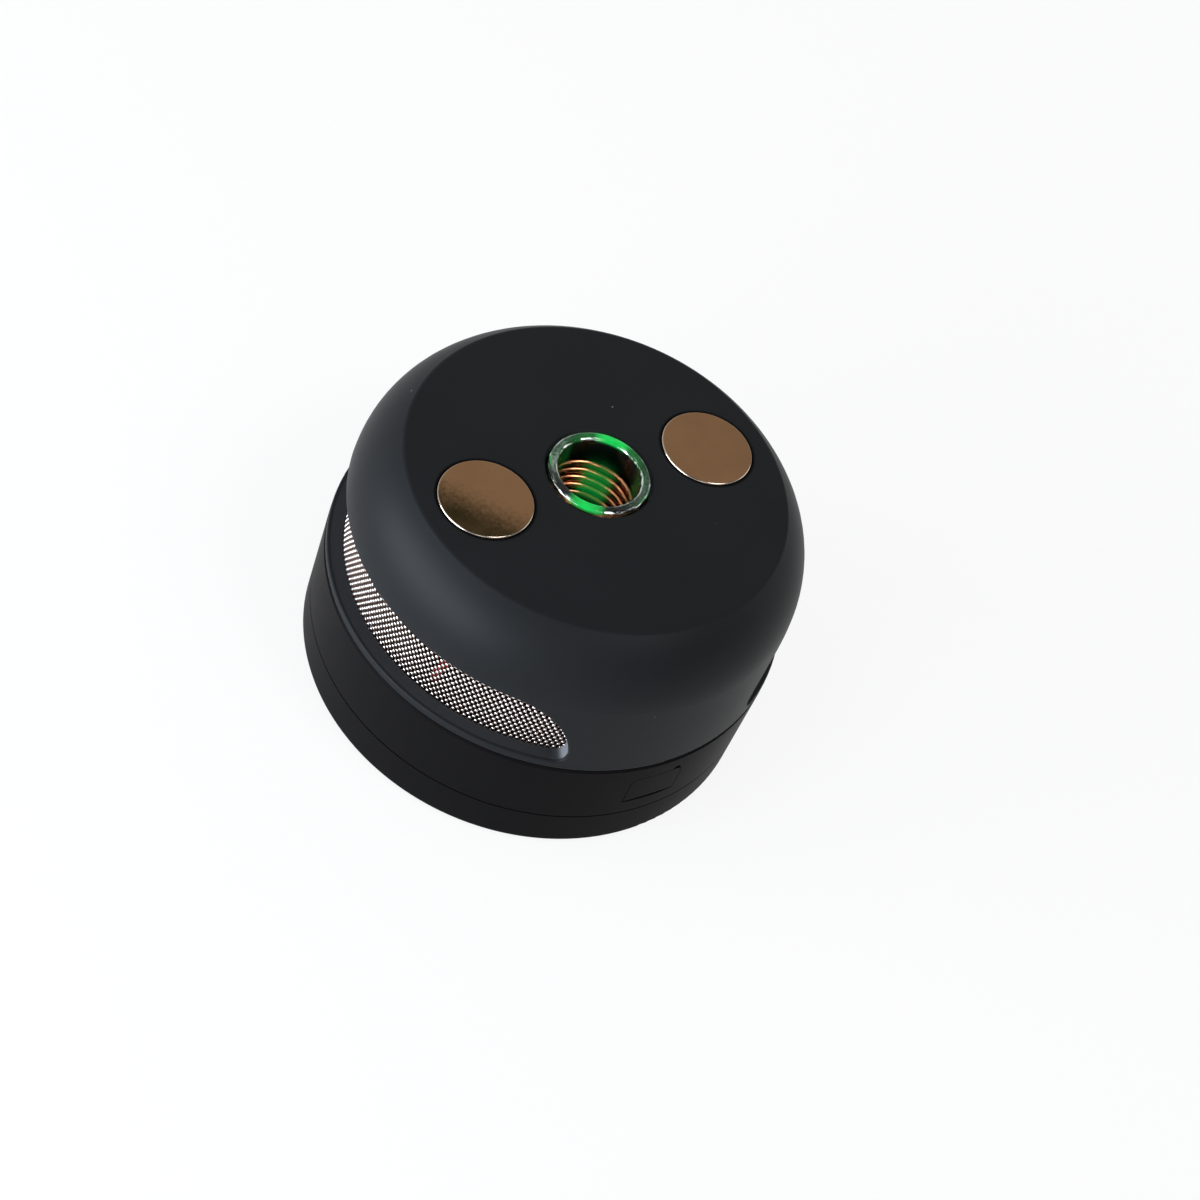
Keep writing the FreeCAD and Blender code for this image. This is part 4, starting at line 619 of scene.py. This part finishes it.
def woven_tree(material):
    """Two families of wavy wires with pressed crossings, laid flat, trimmed and bent round the axis."""
    tree = GeometryTree("woven_vent")
    radius, half_arc = tree.size("Radius"), tree.size("Half Arc")
    bottom, height = tree.size("Bottom"), tree.size("Height")
    across, up = tree.size("Across"), tree.size("Up")
    wire, weave, turn = tree.size("Wire Radius"), tree.size("Weave"), tree.size("Turn")
    knuckle = tree.size("Knuckle", "NodeSocketVector")
    rows = (height / up).ceiling()
    run = rows * across * 0.5
    reach = ((half_arc + run) / across).ceiling()
    x, y, z = tree.parts_of(tree.add("GeometryNodeInputPosition"))
    angle = x / radius + turn
    bent = tree.vector((radius + y) * angle.cosine(), (radius + y) * angle.sine(), z)
    beyond = (abs(x) > half_arc).at_least((z - bottom) > height)

    def slanting_lines(lean, points_per_row):
        """Lines that cross the strip at a slant, one for each crossing along its foot."""
        line = tree.add("GeometryNodeCurvePrimitiveLine", None,
                        {"Start": (0.0, 0.0, 0.0), "End": tree.vector(run * lean, 0.0, rows * up)})
        line = tree.add("GeometryNodeResampleCurve", None,
                        {"Curve": line, "Count": rows * points_per_row + 1})
        first = tree.vector(reach * across * -1.0, 0.0, bottom)
        starts = tree.add("GeometryNodeMeshLine", {"mode": "OFFSET"},
                          {"Count": reach * 2 + 1, "Start Location": first,
                           "Offset": tree.vector(across)})
        lines = tree.add("GeometryNodeInstanceOnPoints", None, {"Points": starts, "Instance": line})
        return tree.add("GeometryNodeRealizeInstances", None, {"Geometry": lines})

    def trimmed(geometry):
        return tree.add("GeometryNodeDeleteGeometry", {"domain": "POINT"},
                        {"Geometry": geometry, "Selection": beyond})

    families = []
    for lean in (1.0, -1.0):
        over = (x * 2 * math.pi / across).cosine() * weave * lean
        families.append(tree.add("GeometryNodeSetPosition", None,
                                 {"Geometry": slanting_lines(lean, 2), "Offset": tree.vector(0.0, over)}))
    flat = trimmed(tree.add("GeometryNodeJoinGeometry", None, {"Geometry": families}))
    wires = tree.add("GeometryNodeSetPosition", None, {"Geometry": flat, "Position": bent})
    bead = tree.add("GeometryNodeMeshUVSphere", None, {"Segments": 8, "Rings": 5, "Radius": 1.0})
    beads = tree.add("GeometryNodeInstanceOnPoints", None,
                     {"Points": trimmed(slanting_lines(1.0, 1)), "Instance": bead, "Scale": knuckle})
    beads = tree.add("GeometryNodeRealizeInstances", None, {"Geometry": beads})
    outwards = tree.vector(0.0, weave + wire - tree.parts_of(knuckle)[1])
    beads = tree.add("GeometryNodeSetPosition", None, {"Geometry": beads, "Offset": outwards})
    beads = tree.add("GeometryNodeSetPosition", None, {"Geometry": beads, "Position": bent})
    woven = tree.add("GeometryNodeJoinGeometry", None,
                     {"Geometry": [tree.round_bar(wires, wire, 5), beads]})
    return tree.finish(woven, material)


def choke_tree(core_material, wire_material):
    """Ring cores wound with loops of wire, one at each side of the board."""
    tree = GeometryTree("wound_choke")
    ring, core = tree.size("Ring Radius"), tree.size("Core Radius")
    wire, turns = tree.size("Wire Radius"), tree.size("Turns", "NodeSocketInt")
    x, y, z = tree.size("X"), tree.size("Y"), tree.size("Z")
    around = tree.add("GeometryNodeCurvePrimitiveCircle", {"mode": "RADIUS"},
                      {"Resolution": 32, "Radius": ring})
    body = tree.round_bar(around, core - wire * 2, 16)
    body = tree.add("GeometryNodeSetMaterial", None, {"Geometry": body, "Material": core_material})
    stations = tree.add("GeometryNodeMeshCircle", None, {"Vertices": turns, "Radius": ring})
    station_x, station_y, _ = tree.parts_of(tree.add("GeometryNodeInputPosition"))
    loop = tree.add("GeometryNodeCurvePrimitiveCircle", {"mode": "RADIUS"},
                    {"Resolution": 12, "Radius": core - wire})
    loops = tree.add("GeometryNodeInstanceOnPoints", None,
                     {"Points": stations, "Instance": loop,
                      "Rotation": tree.vector(math.pi / 2, 0.0, station_y.turn_to(station_x))})
    loops = tree.round_bar(tree.add("GeometryNodeRealizeInstances", None, {"Geometry": loops}), wire, 6)
    loops = tree.add("GeometryNodeSetMaterial", None, {"Geometry": loops, "Material": wire_material})
    wound = tree.add("GeometryNodeJoinGeometry", None, {"Geometry": [body, loops]})
    pair = tree.add("GeometryNodeMeshLine", {"mode": "OFFSET"},
                    {"Count": 2, "Start Location": tree.vector(x, y * -1.0, z),
                     "Offset": tree.vector(0.0, y * 2)})
    chokes = tree.add("GeometryNodeInstanceOnPoints", None, {"Points": pair, "Instance": wound})
    return tree.finish(chokes, None)


class HEATER_OT_vents(bpy.types.Operator):
    """Weaves the wire behind the two vent slots"""
    bl_idname = "heater.vents"
    bl_label = "Weave the vents"

    def execute(self, context):
        sizes = context.scene.heater_vents
        outside = BAND_HIGH.x
        middle = outside - sizes.wire_radius - sizes.weave
        steel = knuckled_wire("woven_steel", outside - sizes.knuckle[1] * 1.3, outside - 0.1 * MM)
        tree = woven_tree(steel)
        half_angle = math.asin(BAND_HIGH.y / outside)
        for side, turn in (("right", 0.0), ("left", math.pi)):
            piece = grown(tree, "woven_mesh_" + side, {
                "Radius": middle, "Half Arc": middle * half_angle, "Bottom": BAND_LOW.z,
                "Height": BAND_HIGH.z - BAND_LOW.z, "Across": sizes.across, "Up": sizes.up,
                "Wire Radius": sizes.wire_radius, "Weave": sizes.weave, "Turn": turn,
                "Knuckle": sizes.knuckle})
            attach(piece, "housing")
            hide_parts("vent_mesh_" + side)
        return {"FINISHED"}


class HEATER_OT_winding(bpy.types.Operator):
    """Winds the copper round the glass, with both ends led out to the board"""
    bl_idname = "heater.winding"
    bl_label = "Wind the copper"

    def execute(self, context):
        sizes = context.scene.heater_windings
        wire = sizes.wire_radius
        points = helix(COIL_HIGH.x - wire, sizes.turns, COIL_LOW.z + wire, COIL_HIGH.z - wire,
                       steps_per_turn=40)
        lead_in = Vector((points[0].x, COIL_LOW.y, points[0].z))
        lead_out = Vector((points[-1].x, COIL_LOW.y, points[-1].z))
        piece = round_wire("copper_winding", [lead_in, *points, lead_out], wire, sides=16,
                           material=copper("bare_copper", context.scene.heater_colours.copper))
        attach(piece, "housing")
        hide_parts("induction_coil")
        return {"FINISHED"}


class HEATER_OT_spring(bpy.types.Operator):
    """Coils the trigger's spring"""
    bl_idname = "heater.spring"
    bl_label = "Coil the spring"

    def execute(self, context):
        sizes = context.scene.heater_windings
        wire = sizes.spring_wire_radius
        points = helix(SPRING_HIGH.x - wire, sizes.spring_turns, SPRING_LOW.z + wire,
                       SPRING_HIGH.z - wire, steps_per_turn=32)
        piece = round_wire("return_spring", points, wire, sides=8,
                           material=metal("spring_steel", STEEL, roughness=0.3))
        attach(piece, "housing")
        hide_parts("trigger_spring")
        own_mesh(piece)
        return {"FINISHED"}


class HEATER_OT_chokes(bpy.types.Operator):
    """Winds the two ring chokes on the driver board"""
    bl_idname = "heater.chokes"
    bl_label = "Wind the chokes"

    def execute(self, context):
        sizes = context.scene.heater_windings
        tree = choke_tree(moulded("core_paint", (0.62, 0.5, 0.08), 0.45),
                          copper("enamelled_copper", (0.5, 0.17, 0.06)))
        half = (CHOKE_HIGH.x - CHOKE_LOW.x) / 2
        core = (CHOKE_HIGH.z - CHOKE_LOW.z) / 2
        piece = grown(tree, "wound_chokes", {
            "Ring Radius": half - core, "Core Radius": core, "Wire Radius": sizes.choke_wire_radius,
            "Turns": sizes.choke_turns, "X": CHOKE_LOW.x + half, "Y": CHOKE_HIGH.y - half,
            "Z": CHOKE_LOW.z + core})
        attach(piece, "housing")
        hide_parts("chokes")
        return {"FINISHED"}


class HEATER_OT_housing(bpy.types.Operator):
    """Finishes the shell, ring, base, feet, flap, magnets and fasteners"""
    bl_idname = "heater.housing"
    bl_label = "Finish the housing"

    def execute(self, context):
        colours = context.scene.heater_colours
        dress(soft_touch("soft_touch_coat", colours.shell, BARE_PLASTIC_HIGHLIGHT), "top_shell")
        dress(moulded("ring_plastic", colours.ring, 0.45, gloss=0.02), "lower_ring", "base_cover",
              "port_cover")
        dress(moulded("black_rubber", DULL_BLACK, 0.6, grain=0.4 * MM, gloss=0.05), "rubber_feet")
        dress(plating("magnet_plating", colours.plate), "magnet_left", "magnet_right")
        dress(metal("zinc_steel", STEEL, 0.32), "cover_screws", "shell_screws", "seat_screws",
              "board_screws", "fan_screws", "charge_screws", "fan_shaft", "usb_socket")
        return {"FINISHED"}


class HEATER_OT_well(bpy.types.Operator):
    """Finishes the glass, lamps, seat and trigger"""
    bl_idname = "heater.well"
    bl_label = "Finish the well"

    def execute(self, context):
        lamp = tuple(context.scene.heater_colours.lamp)
        dress(lit_glass("lamp_lit_glass", lamp), "glass_tube")
        dress(glowing("green_lamp", lamp, strength=0.9), "led_chips")
        # The silicone ring is no lamp: its glow over the lamps is painted as emission.
        dress(glowing("lit_silicone", lamp, strength=0.04), "light_ring")
        dress(moulded("heat_proof_black", DULL_BLACK, 0.5, gloss=0.1), "tube_seat", "trigger_plunger",
              "trigger_switch", "coil_sleeve", "battery_cradle", "fan_housing", "fan_lid", "fan_rotor")
        return {"FINISHED"}


class HEATER_OT_electronics(bpy.types.Operator):
    """Finishes the boards, their components and the battery"""
    bl_idname = "heater.electronics"
    bl_label = "Finish the electronics"

    def execute(self, context):
        dress(circuit_board("solder_mask", (0.012, 0.08, 0.03)),
              "driver_board", "led_board", "charge_board")
        dress(copper("terminal_copper", context.scene.heater_colours.copper), "coil_terminals")
        dress(moulded("dipped_red", (0.09, 0.02, 0.015), 0.4, grain=0.8 * MM, gloss=0.1), "capacitors")
        dress(moulded("chip_black", (0.015, 0.015, 0.015), 0.5), "mosfets", "control_chip")
        dress(metal("extruded_aluminium", (0.75, 0.75, 0.77), 0.35, lay=(1.0, 1.0, 0.05)), "heat_sink")
        dress(cell_sleeve("cell_sleeve", (0.02, 0.08, 0.3)), "battery_cells")
        dress(metal("nickel_strip", (0.66, 0.62, 0.56), 0.28), "cell_links")
        dress(moulded("lead_silicone", (0.4, 0.02, 0.02), 0.5), "power_leads")
        return {"FINISHED"}


def aim_camera(context, settings):
    """Puts the camera where the photograph was taken from, with its roll."""
    azimuth, elevation, roll = settings.azimuth, settings.elevation, settings.roll
    level = Vector((math.cos(azimuth), math.sin(azimuth), 0.0))
    away = Vector((math.sin(azimuth), -math.cos(azimuth), 0.0))
    back = away * math.cos(elevation) + Vector((0.0, 0.0, math.sin(elevation)))
    rise = back.cross(level)
    right = level * math.cos(roll) + rise * math.sin(roll)
    up = rise * math.cos(roll) - level * math.sin(roll)
    data = bpy.data.cameras.new("photo_camera")
    data.sensor_width = 36.0
    data.lens = settings.lens
    data.clip_start = 0.01
    camera = bpy.data.objects.new("photo_camera", data)
    context.scene.collection.objects.link(camera)
    across = settings.aim_across * settings.distance * data.sensor_width / data.lens
    upward = settings.aim_up * settings.distance * data.sensor_width / data.lens
    middle = Vector((0.0, 0.0, SHELL_HIGH.z))
    place = middle - right * across - up * upward + back * settings.distance
    camera.matrix_world = Matrix.Translation(place) @ Matrix((right, up, back)).transposed().to_4x4()
    context.scene.camera = camera


def soft_light(context, name, place, size, power, colour=(1.0, 1.0, 1.0)):
    """A soft rectangular light that faces the body."""
    data = bpy.data.lights.new(name, "AREA")
    data.shape = "RECTANGLE"
    data.size, data.size_y = size
    data.energy = power
    data.color = colour
    light = bpy.data.objects.new(name, data)
    context.scene.collection.objects.link(light)
    place = Vector(place)
    light.location = place
    light.rotation_euler = (BODY_MIDDLE - place).to_track_quat("-Z", "Y").to_euler()


def pale_floor():
    """A wide white floor that keeps the part's shadow and shows white in the picture."""
    mesh = bpy.data.meshes.new("floor")
    corners = [(x * FLOOR_HALF, y * FLOOR_HALF, 0) for x, y in ((-1, -1), (1, -1), (1, 1), (-1, 1))]
    mesh.from_pydata(corners, [], [(0, 1, 2, 3)])
    floor = new_piece("floor", mesh)
    material = bpy.data.materials.new("white_floor")
    material.use_nodes = True
    graph = Graph(material.node_tree)
    graph.tree.nodes.clear()
    paint = graph.add("ShaderNodeBsdfDiffuse", None, {"Color": FLOOR_PAINT})
    glow = graph.add("ShaderNodeEmission", None, {"Color": (1.0, 1.0, 1.0, 1.0), "Strength": 1.0})
    rays = [graph.add("ShaderNodeLightPath", None, None, ray)
            for ray in ("Is Camera Ray", "Is Glossy Ray", "Is Transmission Ray")]
    seen = rays[0].at_least(rays[1]).at_least(rays[2])
    surface = graph.add("ShaderNodeMixShader", None, {0: seen * FLOOR_GLOW_SHARE, 1: paint, 2: glow})
    graph.add("ShaderNodeOutputMaterial", None, {"Surface": surface})
    mesh.materials.append(material)


def studio_air(context):
    """Soft light, brighter low down and towards +Y and -X, with three soft boxes and a dark place."""
    world = bpy.data.worlds.new("studio")
    world.use_nodes = True
    context.scene.world = world
    graph = Graph(world.node_tree)
    graph.tree.nodes.clear()
    x, y, z = graph.parts_of(graph.add("ShaderNodeTexCoord", None, None, "Generated"))
    strength = SKY_LEVEL + x * SKY_SLOPE.x + y * SKY_SLOPE.y
    strength = strength * (1.0 - z.between(0.05, 0.75) * OVERHEAD_DIMMING)
    for direction, half_angle, added in SOFT_BOXES:
        middle, edge = direction.normalized(), math.radians(half_angle)
        toward = x * middle.x + y * middle.y + z * middle.z
        strength = strength + toward.between(math.cos(edge * 1.2), math.cos(edge * 0.8)) * added
    sky = graph.add("ShaderNodeBackground", None,
                    {"Color": SKY_COLOUR, "Strength": strength.at_least(DARKEST_SKY)})
    graph.add("ShaderNodeOutputWorld", None, {"Surface": sky})


class HEATER_OT_stage(bpy.types.Operator):
    """Sets up the floor, the soft lights and the camera"""
    bl_idname = "heater.stage"
    bl_label = "Set the stage"

    def execute(self, context):
        settings = context.scene.heater_stage
        context.scene.view_settings.view_transform = "Standard"
        pale_floor()
        studio_air(context)
        soft_light(context, "key", place=(-0.59, 0.05, 0.15), size=(0.76, 0.3),
                   power=settings.key_power, colour=KEY_COLOUR)
        soft_light(context, "fill", place=(0.8, -0.2, 0.35), size=(0.5, 0.5), power=settings.fill_power)
        aim_camera(context, settings)
        return {"FINISHED"}


class HEATER_PT_panel(bpy.types.Panel):
    """Lists the heater's sizes, colours and steps"""
    bl_idname = "HEATER_PT_panel"
    bl_label = "Heater"
    bl_space_type = "VIEW_3D"
    bl_region_type = "UI"
    bl_category = "Heater"

    def draw(self, context):
        for name, group in GROUPS.items():
            settings = getattr(context.scene, name)
            for key in group.__annotations__:
                self.layout.prop(settings, key)
        for operator in OPERATORS:
            self.layout.operator(operator.bl_idname)


GROUPS = {
    "heater_vents": VentSizes,
    "heater_windings": WindingSizes,
    "heater_colours": FinishColours,
    "heater_stage": StageSettings,
}
OPERATORS = (HEATER_OT_stage, HEATER_OT_housing, HEATER_OT_well, HEATER_OT_electronics, HEATER_OT_vents,
             HEATER_OT_winding, HEATER_OT_spring, HEATER_OT_chokes)


def register():
    for group in GROUPS.values():
        bpy.utils.register_class(group)
    for operator in OPERATORS:
        bpy.utils.register_class(operator)
    bpy.utils.register_class(HEATER_PT_panel)
    for name, group in GROUPS.items():
        setattr(bpy.types.Scene, name, bpy.props.PointerProperty(type=group))


def unregister():
    for name in GROUPS:
        delattr(bpy.types.Scene, name)
    bpy.utils.unregister_class(HEATER_PT_panel)
    for thing in (*reversed(OPERATORS), *reversed(GROUPS.values())):
        bpy.utils.unregister_class(thing)


def main():
    register()
    for operator in OPERATORS:
        family, step = operator.bl_idname.split(".")
        getattr(getattr(bpy.ops, family), step)()


if __name__ == "__main__":
    main()
